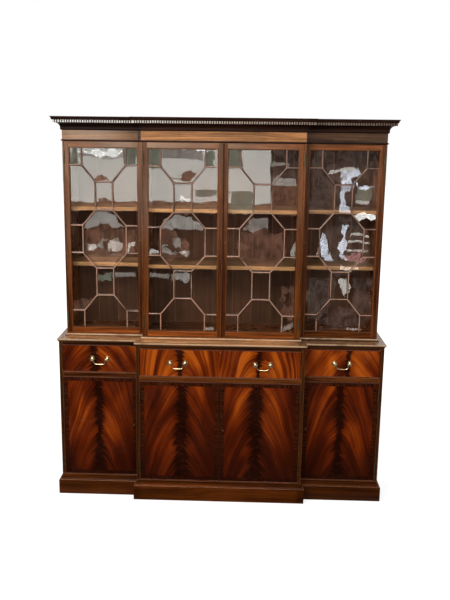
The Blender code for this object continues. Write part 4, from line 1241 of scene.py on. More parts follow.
def make_case(sizes, colours):
    """Sides, partitions and boards of the base and top, each from its own piece of timber."""
    wood_now = mahogany(colours)
    for node in ("lower_bottom_board", "upper_bottom_board"):
        low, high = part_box(node)
        stock = Stock(node, sizes.edge_round)
        stepped_stock(stock, LOWER if node.startswith("lower") else UPPER, low.z, high.z)
        stock.place(f"{node}_finished", wood_now, [node])
    for side, word in SIDE_NAMES.items():
        for level, plan in (("lower", LOWER), ("upper", UPPER)):
            for kind, outer, front, back in (
                ("side", plan.half, plan.front, plan.back),
                ("partition", plan.centre, plan.front - BREAK, INSIDE_BACK),
            ):
                node = f"{level}_{word}_{kind}"
                low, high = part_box(node)
                stock = Stock(node, sizes.edge_round)
                if level == "lower":
                    x = sorted((side * outer, side * (outer - SIDE_THICKNESS)))
                    stock.add_board((x[0], front, low.z), (x[1], back, high.z), "Z", tone=BASE_TONE)
                else:
                    outline = upright_outline(side, outer, front, back)
                    stock.add_prism(outline, "Z", low.z, high.z, "Z", sizes.edge_round * UPRIGHT_ROUND)
                stock.place(f"{node}_finished", wood_now, [node])
    low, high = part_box("upper_top_board")
    stock = Stock("top_board", sizes.edge_round)
    inner = Plan(high.x, UPPER.centre, low.y + BREAK, high.y)
    stepped_stock(stock, inner, low.z, high.z - TOP_SUNK)
    stock.place("upper_top_board_finished", wood_now, ["upper_top_board"])
    for name in BAYS:
        node = f"{name}_drawer_rail"
        low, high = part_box(node)
        stock = Stock(node, sizes.edge_round)
        rounding = sizes.edge_round * RAIL_ROUND
        stock.add_board((low.x, low.y, low.z), (high.x, low.y + RAIL_DEPTH, high.z), "X", rounding)
        dust = high.z - DUST_BOARD
        stock.add_board((low.x, low.y + RAIL_DEPTH, dust), (high.x, high.y, high.z), "X")
        stock.place(f"{node}_finished", wood_now, [node])


def upright_outline(side, outer, front, back):
    """A side or partition of the top seen from above, rebated at the front for its door."""
    lip, inner = outer - DOOR_LIP, outer - SIDE_THICKNESS
    rebate = front + DOOR_THICKNESS + REBATE_ROOM
    outline = [(outer, front), (lip, front), (lip, rebate), (inner, rebate), (inner, back), (outer, back)]
    return [(side * x, y) for x, y in outline]


def shape_tree(name, inputs):
    """A tree that makes a shape from a mesh, with its inputs and the finish."""
    inputs = {"Geometry": "Geometry", **inputs, "Finish": "Material"}
    return node_group(name, inputs, {"Geometry": "Geometry"}, "GeometryNodeTree")


def end_tree(tree, w, given, end, made):
    real = w.add("GeometryNodeRealizeInstances", {0: made})
    finished = w.add("GeometryNodeSetMaterial", {"Geometry": real, "Material": given["Finish"]})
    return give(tree, end, {"Geometry": finished})


def back_boards_tree():
    """Boards side by side across a back panel: a width shared out into whole boards, each a little apart."""
    sizes = ("Width", "Height", "Thickness", "Board", "Joint", "Tongue")
    tree, w, given, end = shape_tree("back boards", dict.fromkeys(sizes, "Float"))
    count = w.maths("MAXIMUM", w.maths("ROUND", w.maths("DIVIDE", given["Width"], given["Board"])), 1.0)
    pitch = w.maths("DIVIDE", given["Width"], count)
    first = w.times(w.minus(pitch, given["Width"]), 0.5)
    from_left = w.combine(first, 0.0, 0.0)
    step = w.combine(pitch, 0.0, 0.0)
    line = w.add("GeometryNodeMeshLine", {"Count": count, "Start Location": from_left, "Offset": step})
    size = w.combine(w.minus(pitch, given["Joint"]), given["Thickness"], given["Height"])
    block = w.add("GeometryNodeMeshCube", {"Size": size})
    boards = w.add("GeometryNodeInstanceOnPoints", {"Points": line, "Instance": block})
    joints = w.maths("MAXIMUM", w.minus(count, 1.0), 1.0)
    at_joint = w.combine(w.plus(first, w.times(pitch, 0.5)), 0.0, 0.0)
    seams = w.add("GeometryNodeMeshLine", {"Count": joints, "Start Location": at_joint, "Offset": step})
    size = w.combine(given["Tongue"], w.times(given["Thickness"], 0.3), given["Height"])
    tongue = w.add("GeometryNodeMeshCube", {"Size": size})
    tongues = w.add("GeometryNodeInstanceOnPoints", {"Points": seams, "Instance": tongue})
    both = tree.nodes.new("GeometryNodeJoinGeometry")
    tree.links.new(tongues, both.inputs[0])
    tree.links.new(boards, both.inputs[0])
    return end_tree(tree, w, given, end, both.outputs[0])


def run_tree(tree, mesh, name, values):
    """Runs a node tree over a mesh with the named inputs, and returns the plain mesh that it makes."""
    obj = stand(name, mesh)
    modifier = obj.modifiers.new(name, "NODES")
    modifier.node_group = tree
    sockets = {item.name: item.identifier for item in tree.interface.items_tree if item.in_out == "INPUT"}
    for key, value in values.items():
        modifier[sockets[key]] = value
    bpy.context.view_layer.update()
    graph = bpy.context.evaluated_depsgraph_get()
    made = bpy.data.meshes.new_from_object(obj.evaluated_get(graph))
    bpy.data.objects.remove(obj, do_unlink=True)
    return made


def grain_by_shell(mesh, along, seed, rounding=0.0):
    """Rounds the edges of a mesh of loose blocks and gives each its own stretch of grain.

    Where no direction is told, the grain follows the longest edge of each, and its nose takes the pale of
    wear and a painted highlight.
    """
    stock = Stock(seed, rounding)
    stock.bm.from_mesh(mesh)
    stock.find_layers()
    bmesh.ops.remove_doubles(stock.bm, verts=stock.bm.verts, dist=0.00001)
    strips = set(stock.round_edges(list(stock.bm.edges), rounding)) if rounding else set()
    left = set(stock.bm.faces)
    for first in stock.bm.faces:
        if first not in left:
            continue
        left.discard(first)
        shell = [first]
        for face in shell:
            for edge in face.edges:
                for neighbour in edge.link_faces:
                    if neighbour in left:
                        left.discard(neighbour)
                        shell.append(neighbour)
        stock.take_board()
        front = min(vert.co.y for face in shell for vert in face.verts)
        nose = [face for face in shell if face.calc_center_median().y < front + NOSE_HIGHLIGHT_DEPTH]
        worn = dict.fromkeys([face for face in shell if face in strips] if along else nose)
        way = along or longest_way(shell)
        stock.mark([face for face in shell if face not in worn], way)
        stock.mark(worn, way, 1.0)
    return stock.mesh(mesh.name)


def longest_way(shell):
    """The direction of a shell's longest edge."""
    longest = max((edge for face in shell for edge in face.edges), key=lambda edge: edge.calc_length())
    return (longest.verts[1].co - longest.verts[0].co).normalized()


def make_backs(sizes, colours):
    """The backs of the base and top, of upright boards."""
    tree = back_boards_tree()
    finish = back_wood(colours)
    for node in ("lower_back_panel", "upper_back_panel"):
        low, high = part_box(node)
        seed_mesh = bpy.data.meshes.new(node)
        values = {
            "Width": high.x - low.x + 2 * BACK_BED,
            "Height": high.z - low.z,
            "Thickness": high.y - low.y,
            "Board": sizes.back_board,
            "Joint": BACK_JOINT,
            "Tongue": BACK_TONGUE,
            "Finish": finish,
        }
        boards = run_tree(tree, seed_mesh, node + "_boards", values)
        boards.transform(Matrix.Translation((low + high) / 2))
        boards = grain_by_shell(boards, "Z", node, sizes.edge_round)
        place_piece(f"{node}_boards", boards, finish, "case", [node])


def make_shelves(sizes, colours):
    """Six shelves with rounded front edges, fitted between the uprights."""
    finish = shelf_wood()
    inner, middle = UPPER.half - SIDE_THICKNESS, UPPER.centre - SIDE_THICKNESS
    bays = (("left", -inner, -UPPER.centre), ("centre", -middle, middle), ("right", UPPER.centre, inner))
    for name, low_x, high_x in bays:
        for level in ("lower", "upper"):
            node = f"{name}_{level}_shelf"
            low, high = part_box(node)
            # A pale lipping on a darker board: a real strip of wood, whose paler colour is painted light on
            # the front edge
            edge = low.y + SHELF_LIPPING
            stock = Stock(node, 0.0)
            stock.add_board((low_x + SEAT_GAP, edge, low.z), (high_x - SEAT_GAP, high.y, high.z), "X")
            stock.place(f"{node}_board", finish, [node], slot="pale_wood")
            stock = Stock(node + "_lipping", SHELF_ROUND)
            stock.add_board((low_x + SEAT_GAP, low.y, low.z), (high_x - SEAT_GAP, edge, high.z), "X")
            stock.place(f"{node}_lipping", lipping_wood(colours), slot="pale_wood")


def make_waist(sizes, colours):
    """The moulded board on the base with its front rails, and the moulding round the foot of the top."""
    nose = WAIST_TOP - WAIST_NOSE
    hollow = WAIST_PROJECTION * WAIST_HOLLOW_SHARE
    profile = [(-WAIST_BORDER, WAIST_BOTTOM), (0, WAIST_BOTTOM)]
    profile += arc((hollow, WAIST_BOTTOM), (hollow / 2, nose - WAIST_BOTTOM), 180, 90, 6)
    edge, rounding = WAIST_PROJECTION - WAIST_ROUND, (WAIST_ROUND, WAIST_ROUND)
    profile += arc((edge, nose + WAIST_ROUND), rounding, -90, 0, 3)
    start = len(profile)
    profile += arc((edge, WAIST_TOP - WAIST_ROUND), rounding, 0, 90, 3)
    profile += [(-WAIST_BORDER, WAIST_TOP)]
    stock = Stock("waist", sizes.edge_round)
    # Painted shade under the nose and in the hollow, and painted light on the ledge's top; the nose's front
    # and round take the pale of wear and a painted highlight
    share_tones = dict.fromkeys(range(start - 4), SHADED_TONE) | {start + 3: LEDGE_PAINTED_LIGHT}
    stock.add_run(run_rings(LOWER, profile), wear_and_highlight_shares=range(start - 1, start + 3), share_tones=share_tones)
    inset = WAIST_BORDER
    field = Plan(LOWER.half - inset, LOWER.centre - inset, LOWER.front + inset, LOWER.back)
    stepped_stock(stock, field, WAIST_BOTTOM, WAIST_TOP, LEDGE_PAINTED_LIGHT)
    inside = SEAT_GAP
    top = WAIST_TOP + FOOT_HEIGHT
    round_start = WAIST_TOP + FOOT_FLAT
    profile = [(inside, WAIST_TOP - WAIST_ROUND), (FOOT_PROJECTION, WAIST_TOP - WAIST_ROUND)]
    profile += arc((inside, round_start), (FOOT_PROJECTION - inside, top - round_start), 0, 84, 8)
    profile += [(inside, top)]
    # The foot moulding's round takes the pale of wear and a painted highlight
    stock.add_run(run_rings(UPPER, profile), wear_and_highlight_shares=(4, 5, 6, 7))
    stock.place("waist_moulding", waist_wood(), ["waist_board"])
    stock = Stock("top_rails", sizes.edge_round)
    for low_x, high_x, front in BAYS.values():
        low = (low_x + SEAT_GAP, front, WAIST_BOTTOM - TOP_RAIL)
        high = (high_x - SEAT_GAP, front + RAIL_DEPTH, WAIST_BOTTOM)
        stock.add_board(low, high, "X", tone=BASE_TONE)
    stock.place("top_rails", mahogany(colours))


def cornice_levels():
    """Heights of the cornice's members, from the foot of its bead to the foot and top of its cyma."""
    steps = (CORNICE_BEAD, FRIEZE, NECK_HEIGHT, CAVETTO_HEIGHT, DENTIL_HEIGHT)
    levels = [CORNICE_BOTTOM]
    for step in steps:
        levels.append(levels[-1] + step)
    return levels + [CORNICE_TOP]


def make_cornice(sizes, colours):
    """The cornice's bead and frieze, and its crown from the neck to the cyma, grooved for the dentils."""
    foot, bead, frieze, neck, cavetto, dentil, top = cornice_levels()
    groove = CAVETTO_PROJECTION - DENTIL_BACKING
    profile = arc((0, (foot + bead) / 2), (CORNICE_BEAD_PROJECTION, CORNICE_BEAD / 2), -90, 90, 8)
    profile += [(-BEAD_BED, bead), (-BEAD_BED, foot)]
    stock = Stock("cornice_bead", sizes.edge_round)
    stock.add_run(run_rings(UPPER, profile))
    stock.place("cornice_bead", crown_wood())
    profile = [(-BEAD_BED, foot), (-BEAD_BED, bead), (0, bead), (0, frieze)]
    profile += [(-CORNICE_WALL, frieze), (-CORNICE_WALL, foot)]
    stock = Stock("cornice_frieze", sizes.edge_round)
    rings = run_rings(UPPER, profile)
    # An extra length just left of the break carries painted shade, and each length its own painted light and
    # shade
    rings.insert(2, [between(corner, start, SHADED_STRETCH_SHARE) for start, corner in zip(rings[1], rings[2])])
    stock.add_run(rings, tones=FRIEZE_PAINTED_LIGHT_AND_SHADE)
    wall = UPPER.half - CORNICE_WALL
    stock.add_board((-wall, UPPER.back - CORNICE_WALL, foot), (wall, UPPER.back, top), "X", tone=BASE_TONE)
    stock.place("cornice_frieze", frieze_wood())
    profile = arc((0, (frieze + neck) / 2), (NECK_PROJECTION, NECK_HEIGHT / 2), -90, 0, 5)
    profile += [(NECK_PROJECTION, neck)]
    hollow = (CAVETTO_PROJECTION - NECK_PROJECTION, CAVETTO_HEIGHT)
    profile += arc((CAVETTO_PROJECTION, neck), hollow, 180, 90, 12)[1:]
    nose = CAVETTO_PROJECTION + DENTIL_DEPTH
    rise = (CORNICE_PROJECTION - nose, CYMA_HEIGHT / 2)
    profile += [(groove, cavetto), (groove, dentil), (nose, dentil)]
    profile += arc((nose, dentil + CYMA_HEIGHT / 2), (rise[0] / 2, rise[1]), -90, 0, 5)[1:]
    profile += arc((CORNICE_PROJECTION, dentil + CYMA_HEIGHT / 2), (rise[0] / 2, rise[1]), 180, 90, 5)[1:]
    profile += [(CORNICE_PROJECTION, top), (-CORNICE_WALL, top), (-CORNICE_WALL, frieze)]
    stock = Stock("cornice_crown", sizes.edge_round)
    stock.add_run(run_rings(UPPER, profile))
    stock.place("cornice_crown", crown_wood(), ["cornice"])


def dentil_tree():
    """Evenly spaced blocks along each straight line of a mesh, turned to face square off it."""
    inputs = dict.fromkeys(("Pitch", "Width", "Depth", "Height"), "Float")
    tree, w, given, end = shape_tree("dentils", inputs)
    lines = w.add("GeometryNodeMeshToCurve", {0: given["Geometry"]})
    length = w.add("GeometryNodeSplineLength")
    count = w.plus(w.maths("ROUND", w.maths("DIVIDE", length, given["Pitch"])), 1.0)
    spaced = w.add("GeometryNodeResampleCurve", {"Curve": lines, "Count": count})
    tangent = w.add("GeometryNodeInputTangent")
    turn = w.add("FunctionNodeAlignRotationToVector", {"Vector": tangent}, axis="X")
    size = w.combine(given["Width"], given["Depth"], given["Height"])
    block = w.add("GeometryNodeMeshCube", {"Size": size})
    copies = w.add("GeometryNodeInstanceOnPoints", {"Points": spaced, "Instance": block, "Rotation": turn})
    return end_tree(tree, w, given, end, copies)


def make_dentils(sizes, colours):
    """The dentil strip in the cornice's groove: a backing, and the blocks on it."""
    low = cornice_levels()[4] + SEAT_GAP
    high = low + DENTIL_HEIGHT - 2 * SEAT_GAP
    back = CAVETTO_PROJECTION - DENTIL_BACKING + SEAT_GAP
    stock = Stock("dentil_backing", sizes.edge_round)
    profile = [(back, low), (CAVETTO_PROJECTION, low), (CAVETTO_PROJECTION, high), (back, high)]
    stock.add_run(run_rings(UPPER, profile))
    stock.place("dentil_backing", crown_wood(), ["dentil_moulding"])
    width = sizes.dentil_pitch * DENTIL_WIDTH_SHARE
    centre_out = CAVETTO_PROJECTION + DENTIL_DEPTH / 2
    walk = corners(UPPER, centre_out)
    inner_corners = (2, 5)
    points, edges = [], []
    for i, (start, end) in enumerate(zip(walk, walk[1:])):
        start, end = Vector((*start, (low + high) / 2)), Vector((*end, (low + high) / 2))
        way = (end - start).normalized()
        first = DENTIL_DEPTH / 2 + width if i in inner_corners else width / 2
        last = DENTIL_DEPTH / 2 + width if i + 1 in inner_corners else width / 2
        points += [start + way * first, end - way * last]
        edges.append((len(points) - 2, len(points) - 1))
    line = mesh_from("dentil_lines", points, edges)
    values = {"Pitch": sizes.dentil_pitch, "Width": width, "Depth": DENTIL_DEPTH, "Height": high - low}
    values["Finish"] = dentil_wood()
    blocks = run_tree(dentil_tree(), line, "dentils", values)
    blocks = grain_by_shell(blocks, "X", "dentils", DENTIL_EDGE)
    place_piece("dentils", blocks, dentil_wood(), "case")


def frame_rings(low, high, face, section):
    """A section of place inwards and depth, at each corner of a frame in the XZ plane."""
    rings = []
    (left, foot), (right, top) = low, high
    for x, z, dx, dz in ((left, foot, 1, 1), (right, foot, -1, 1), (right, top, -1, -1), (left, top, 1, -1)):
        rings.append([(x + dx * inwards, face + depth, z + dz * inwards) for inwards, depth in section])
    return rings


def bead_frame(stock, low, high, sizes, face):
    """A half-round bead mitred round the front edge of a drawer or door."""
    width, proud = sizes.bead_width, sizes.bead_proud
    section = arc((width / 2, proud), (width / 2, proud), 180, 360, 6)
    section += [(width, BEAD_DEPTH), (0, BEAD_DEPTH)]
    # Only the horizontal lengths take the pale, a painted highlight from light above as well as wear
    stock.add_run(frame_rings(low, high, face, section), wear_and_highlight_shares=(1, 2, 3, 4), closed=True, wear_and_highlight_ways="X")


def veneered_front(name, node, body, low, high, face, material, sizes, colours):
    """A veneered front set back inside its cock bead, with the bead as a piece of its own."""
    stock = Stock(name, sizes.edge_round)
    inset = sizes.bead_width
    stock.add_board(
        (low[0] + inset, face + sizes.bead_proud, low[1] + inset),
        (high[0] - inset, face + BEAD_DEPTH, high[1] - inset),
        "Z",
        0.0,
    )
    stock.add_board((low[0], face + BEAD_DEPTH, low[1]), (high[0], face + DOOR_THICKNESS, high[1]), "Z")
    stock.place(f"{name}_veneer", material, [node], body, "flame_veneer")
    stock = Stock(name + "bead", sizes.edge_round)
    bead_frame(stock, low, high, sizes, face)
    stock.place(f"{name}_cock_bead", bead_wood(), body=body)


def make_cupboard_doors(sizes, colours):
    """The four cupboard doors: flame veneer in a crossbanded border, framed by a cock bead."""
    for door in LOWER_DOORS:
        share, heart, seed, sweep, bend, light, lean = DOOR_FIGURES[door.name]
        centre = ((door.low + door.high) / 2, (door.bottom + door.top) / 2)
        half = ((door.high - door.low) / 2, (door.top - door.bottom) / 2)
        axis = door.low + (door.high - door.low) * share
        figure = Figure([(axis, heart)], seed, sweep, bend, light, DOOR_FOOT_DROP, lean)
        veneer = flame(f"{door.name}_flame", colours, centre, half, figure, sizes.band_width)
        veneered_front(
            door.name, door.name + "_door", door.body, (door.low, door.bottom), (door.high, door.top),
            door.face, veneer, sizes, colours,
        )


def make_drawers(sizes, colours):
    """Three drawers: veneered fronts with cock beads, and boxes of boards behind them."""
    for name in BAYS:
        low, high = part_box(f"{name}_drawer_front")
        centre = ((low.x + high.x) / 2, (low.z + high.z) / 2)
        half = ((high.x - low.x) / 2, (high.z - low.z) / 2)
        veneer = flame(f"{name}_drawer_flame", colours, centre, half, DRAWER_FIGURES[name], DRAWER_BAND)
        veneered_front(
            f"{name}_drawer", f"{name}_drawer_front", f"{name}_drawer", (low.x, low.z), (high.x, high.z),
            low.y, veneer, sizes, colours,
        )
        make_drawer_box(name, sizes, colours)


def make_drawer_box(name, sizes, colours):
    low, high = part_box(f"{name}_drawer_box")
    stock = Stock(f"{name}_box", sizes.edge_round)
    for x in (low.x, high.x - BOX_SIDE):
        stock.add_board((x, low.y, low.z), (x + BOX_SIDE, high.y, high.z), "Y")
    for y in (low.y, high.y - BOX_SIDE):
        stock.add_board((low.x + BOX_SIDE, y, low.z), (high.x - BOX_SIDE, y + BOX_SIDE, high.z), "X")
    bottom_low = (low.x + BOX_SIDE, low.y + BOX_SIDE, low.z)
    stock.add_board(bottom_low, (high.x - BOX_SIDE, high.y - BOX_SIDE, low.z + BOX_BOTTOM), "X")
    replaced = [f"{name}_drawer_box"]
    stock.place(f"{name}_drawer_boards", drawer_lining(colours), replaced, f"{name}_drawer", "pale_wood")


def turned(profile, steps, way, origin):
    """A mesh turned round an axis from a profile of radius and reach, closed at both ends."""
    bm = bmesh.new()
    rings = []
    for radius, reach in profile:
        if radius < 0.00001:
            rings.append([bm.verts.new((0, 0, reach))])
            continue
        ring = []
        for i in range(steps):
            angle = 2 * math.pi * i / steps
            ring.append(bm.verts.new((radius * math.cos(angle), radius * math.sin(angle), reach)))
        rings.append(ring)
    for ring, follower in zip(rings, rings[1:]):
        for i in range(steps):
            j = (i + 1) % steps
            around = [row[k % len(row)] for row, k in ((ring, i), (ring, j), (follower, j), (follower, i))]
            verts = list(dict.fromkeys(around))
            if len(verts) > 2:
                bm.faces.new(verts)
    bmesh.ops.recalc_face_normals(bm, faces=bm.faces)
    for face in bm.faces:
        face.smooth = True
    bmesh.ops.transform(bm, matrix=Matrix.Translation(origin) @ way.to_4x4(), verts=bm.verts)
    return bm


def post_profile():
    """A handle post: its ball, stem and boss, as radius and reach from the veneer."""
    ball = arc((0, POST_REACH), (POST_BALL, POST_BALL), 90, -48, 12)
    ball[0] = (0.0, POST_REACH + POST_BALL)
    return ball + list(POST_STEM)


def smooth_path(points, steps):
    """A Catmull-Rom curve through points of any number of values."""
    def at(i):
        return points[min(max(i, 0), len(points) - 1)]

    path = []
    for i in range(len(points) - 1):
        for k in range(steps):
            t = k / steps
            row = []
            for a, b, c, d in zip(at(i - 1), at(i), at(i + 1), at(i + 2)):
                square, cube = 2 * a - 5 * b + 4 * c - d, 3 * b - a - 3 * c + d
                row.append(0.5 * (2 * b + (c - a) * t + square * t * t + cube * t**3))
            path.append(row)
    path.append(list(points[-1]))
    return path


def bail_mesh(x, y, z, centres):
    """A swan-neck bail swept along its curve, thickest in the middle of the grip."""
    pin = centres / 2
    neck = pin - BAIL_NECK
    half = [(pin + BAIL_PIN_PAST, 0.0, BAIL_SHARES[0][2])]
    half += [(neck - neck * on, -BAIL_DROP * down, thick) for on, down, thick in BAIL_SHARES]
    points = half + [(-px, pz, thick) for px, pz, thick in reversed(half[:-1])]
    path = smooth_path(points, 5)
    bm = bmesh.new()
    rings = []
    sides = 16
    for i, (px, pz, thick) in enumerate(path):
        before, after = path[max(i - 1, 0)], path[min(i + 1, len(path) - 1)]
        way = Vector((after[0] - before[0], 0, after[1] - before[1])).normalized()
        across = Vector((-way.z, 0, way.x))
        ring = []
        for k in range(sides):
            angle = 2 * math.pi * k / sides
            spoke = across * math.cos(angle) + Vector((0, 1, 0)) * math.sin(angle)
            ring.append(bm.verts.new(Vector((x + px, y, z + pz)) + spoke * BAIL_WIRE * thick))
        rings.append(ring)
    bmesh.ops.recalc_face_normals(bm, faces=closed_body(bm, rings))
    return plain_mesh(bm, "bail")


def make_handles(sizes, colours):
    """Four swan-neck handles: two turned posts and a bail that swings in them."""
    finish = brass(colours)
    rosette_finish = brass(colours, "rosette_brass", bright=0.5, roughness=0.34, dirt=0.9)
    for place in ("left", "centre_left", "centre_right", "right"):
        drawer = place.split("_")[0]
        middles = []
        for word in ("left", "right"):
            node = f"{place}_handle_{word}_post"
            low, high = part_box(node)
            origin = Vector(((low.x + high.x) / 2, high.y, (low.z + high.z) / 2))
            middles.append(origin.x)
            for word_now, profile, brass_now in (
                ("turned", post_profile(), finish),
                ("rosette", ROSETTE, rosette_finish),
            ):
                name = f"{node}_{word_now}"
                mesh = plain_mesh(turned(profile, 32, TO_FRONT, origin), name, SHARP_ANGLE)
                stands_for = [node] if word_now == "turned" else []
                place_piece(name, mesh, brass_now, f"{drawer}_drawer", stands_for, weighted=False)
        joint = next(joint for joint in frame["joints"] if joint["name"] == f"{place}_bail_hinge")
        x, y, z = joint["pos_m"]
        mesh = bail_mesh(x, y, z, middles[1] - middles[0])
        name = f"{place}_bail"
        place_piece(name, mesh, finish, name, [f"{place}_handle_bail"], weighted=False)


def sight_rectangle(door, grow=0.0):
    """The sight line of a glazed door as low and high corners, grown by a size."""
    low = (door.low + STILE - grow, door.bottom + GLAZED_RAIL - grow)
    return low, (door.high - STILE + grow, door.top - GLAZED_RAIL + grow)


def make_glazed_doors(sizes, colours):
    """The frames of the glazed doors: stiles through, rails between, and a mitred ovolo round the glass."""
    finish = mahogany(colours)
    for door in UPPER_DOORS:
        stock = Stock(door.name, sizes.edge_round)
        face, back = door.face, door.face + DOOR_THICKNESS
        inner_low, inner_high = sight_rectangle(door, MOULDING_WIDTH)
        for low_x, high_x in ((door.low, inner_low[0]), (inner_high[0], door.high)):
            stock.add_board((low_x, face, door.bottom), (high_x, back, door.top), "Z")
        # The rails are painted lighter for the light on them, each bottom rail by its own amount
        for low_z, high_z, tone in (
            (door.bottom, inner_low[1], BOTTOM_RAIL_PAINTED_LIGHT[door.name]),
            (inner_high[1], door.top, TOP_RAIL_PAINTED_LIGHT),
        ):
            stock.add_board((inner_low[0], face, low_z), (inner_high[0], back, high_z), "X", tone=tone)
        width, deep = MOULDING_WIDTH, MOULDING_DEPTH
        rebate = width - GLASS_REBATE + SEAT_GAP
        section = [(0.0, back - face), (0.0, OVOLO_SUNK), (OVOLO_STEP, OVOLO_SUNK)]
        section += arc((OVOLO_STEP, deep + OVOLO_STEP), (width - OVOLO_MARGIN, deep), -90, 0, 8)[1:]
        section += [(width, deep + OVOLO_QUIRK), (width, SIGHT_DEPTH)]
        section += [(rebate, SIGHT_DEPTH), (rebate, back - face)]
        rings = frame_rings(inner_low, inner_high, face, section)
        # The ovolo is painted darker for the shade by the glass, and its nose takes the pale of wear and a
        # painted highlight
        stock.add_run(rings, wear_and_highlight_shares=(2,), closed=True, tone=MOULDING_PAINTED_SHADE)
        stock.place(f"{door.name}_frame_finished", finish, [f"{door.name}_door_frame"], door.body)


def pane_shares():
    """The fifteen panes between the bars: a stack of octagons and rectangles, and those beside them."""
    a, b = OCTAGON_SIDE_SHARE, RECTANGLE_SIDE_SHARE
    far_a, far_b = 1 - a, 1 - b
    v = (0, *LEVEL_SHARES, 1)
    octagon = [(b, v[3]), (far_b, v[3]), (far_a, v[4]), (far_a, v[5])]
    octagon += [(far_b, v[6]), (b, v[6]), (a, v[5]), (a, v[4])]
    middle = [
        [(a, v[0]), (far_a, v[0]), (far_a, v[1]), (far_b, v[2]), (b, v[2]), (a, v[1])],
        [(b, v[2]), (far_b, v[2]), (far_b, v[3]), (b, v[3])],
        octagon,
        [(b, v[6]), (far_b, v[6]), (far_b, v[7]), (b, v[7])],
        [(b, v[7]), (far_b, v[7]), (far_a, v[8]), (far_a, v[9]), (a, v[9]), (a, v[8])],
    ]
    left = [
        [(0, v[0]), (a, v[0]), (a, v[1]), (0, v[1])],
        [(0, v[1]), (a, v[1]), (b, v[2]), (b, v[3]), (a, v[4]), (0, v[4])],
        [(0, v[4]), (a, v[4]), (a, v[5]), (0, v[5])],
        [(0, v[5]), (a, v[5]), (b, v[6]), (b, v[7]), (a, v[8]), (0, v[8])],
        [(0, v[8]), (a, v[8]), (a, v[9]), (0, v[9])],
    ]
    right = [[(1 - u, w) for u, w in reversed(pane)] for pane in left]
    return middle + left + right


def bar_lines(door):
    """The centre line of every glazing bar of a door, each once, as pairs of points in X and Z."""
    low, high = sight_rectangle(door)
    width, height = high[0] - low[0], high[1] - low[1]
    seen, lines = set(), []
    for pane in pane_shares():
        for start, end in zip(pane, pane[1:] + pane[:1]):
            at_border = any(start[axis] == end[axis] and start[axis] in (0, 1) for axis in (0, 1))
            key = frozenset(tuple(round(value, 6) for value in point) for point in (start, end))
            if at_border or key in seen:
                continue
            seen.add(key)
            ends = []
            for point, other in ((start, end), (end, start)):
                spot = Vector((low[0] + point[0] * width, low[1] + point[1] * height))
                far = Vector((low[0] + other[0] * width, low[1] + other[1] * height))
                outward = (spot - far).normalized()
                into_frame = any(value in (0, 1) for value in point)
                ends.append(spot + outward * (BAR_INTO_FRAME if into_frame else BAR_LAP))
            lines.append(ends)
    return lines


def bar_section(width, depth):
    """Half-round nose, shoulders and a slimmer tail: depth towards the front, and place across."""
    nose = arc((depth - BAR_NOSE[0], 0.0), BAR_NOSE, -90, 90, 6)
    half = width / 2
    side = [(depth - BAR_SIDE_START, half - BAR_SHOULDER_SLIM), (depth - BAR_SHOULDER, half)]
    side.append((0.0, half - BAR_TAIL_SLIM))
    return nose + side + [(x, -y) for x, y in reversed(side)]


def bars_tree():
    """A moulded section led along each straight line of a mesh, with its nose to the front."""
    tree, w, given, end = shape_tree("glazing bars", {"Section": "Object"})
    lines = w.add("GeometryNodeMeshToCurve", {0: given["Geometry"]})
    faced = w.add("GeometryNodeSetCurveNormal", {0: lines, "Normal": (0, -1, 0)}, mode="FREE")
    info = tree.nodes.new("GeometryNodeObjectInfo")
    tree.links.new(given["Section"], info.inputs[0])
    section = w.add("GeometryNodeMeshToCurve", {0: info.outputs["Geometry"]})
    swept = w.add("GeometryNodeCurveToMesh", {0: faced, "Profile Curve": section, "Fill Caps": True})
    return end_tree(tree, w, given, end, swept)


def section_object(points):
    """A closed outline in the XY plane, for a tree to sweep."""
    edges = [(i, (i + 1) % len(points)) for i in range(len(points))]
    return stand("bar_section", mesh_from("bar_section", [(x, y, 0) for x, y in points], edges))


def make_glazing(sizes, colours):
    """The lattice of bars, and a pane for each opening, a little out of line."""
    section = section_object(bar_section(sizes.bar_width, BAR_THICKNESS))
    tree = bars_tree()
    finish = bar_wood()
    for door in UPPER_DOORS:
        back = door.face + SIGHT_DEPTH
        points, edges = [], []
        for start, end in bar_lines(door):
            points += [(start.x, back, start.y), (end.x, back, end.y)]
            edges.append((len(points) - 2, len(points) - 1))
        lines = mesh_from(door.name + "_bars", points, edges)
        bars = run_tree(tree, lines, door.name + "_bars", {"Section": section, "Finish": finish})
        bars = grain_by_shell(bars, None, door.name + "_bars")
        name = f"{door.name}_bars_moulded"
        place_piece(name, bars, finish, door.body, [f"{door.name}_glazing_bars"])
        make_panes(door, sizes)
    bpy.data.objects.remove(section, do_unlink=True)


def make_panes(door, sizes):
    low, high = sight_rectangle(door)
    width, height = high[0] - low[0], high[1] - low[1]
    y = door.face + SIGHT_DEPTH + SEAT_GAP + PANE_ROOM
    chance = random.Random(door.name)
    bm = bmesh.new()
    for pane in pane_shares():
        middle = Vector((sum(u for u, _ in pane), sum(v for _, v in pane))) / len(pane)
        tilt = [chance.uniform(-1, 1) * sizes.pane_tilt, chance.uniform(-1, 1) * sizes.pane_tilt]
        centre = Vector((low[0] + middle[0] * width, low[1] + middle[1] * height))
        rings = []
        for depth in (0.0, PANE_THICKNESS):
            ring = []
            for u, v in pane:
                spot = Vector((low[0] + u * width, low[1] + v * height))
                spot = spot + (centre - spot).normalized() * PANE_EDGE
                lean = (spot.x - centre.x) * math.tan(tilt[0]) + (spot.y - centre.y) * math.tan(tilt[1])
                ring.append(bm.verts.new((spot.x, y + depth + lean, spot.y)))
            rings.append(ring)
        for face in closed_body(bm, rings):
            face.smooth = False
    bmesh.ops.recalc_face_normals(bm, faces=bm.faces)
    mesh = plain_mesh(bm, door.name + "_panes")
    name = f"{door.name}_panes"
    place_piece(name, mesh, glass(), door.body, [f"{door.name}_glass"], weighted=False)


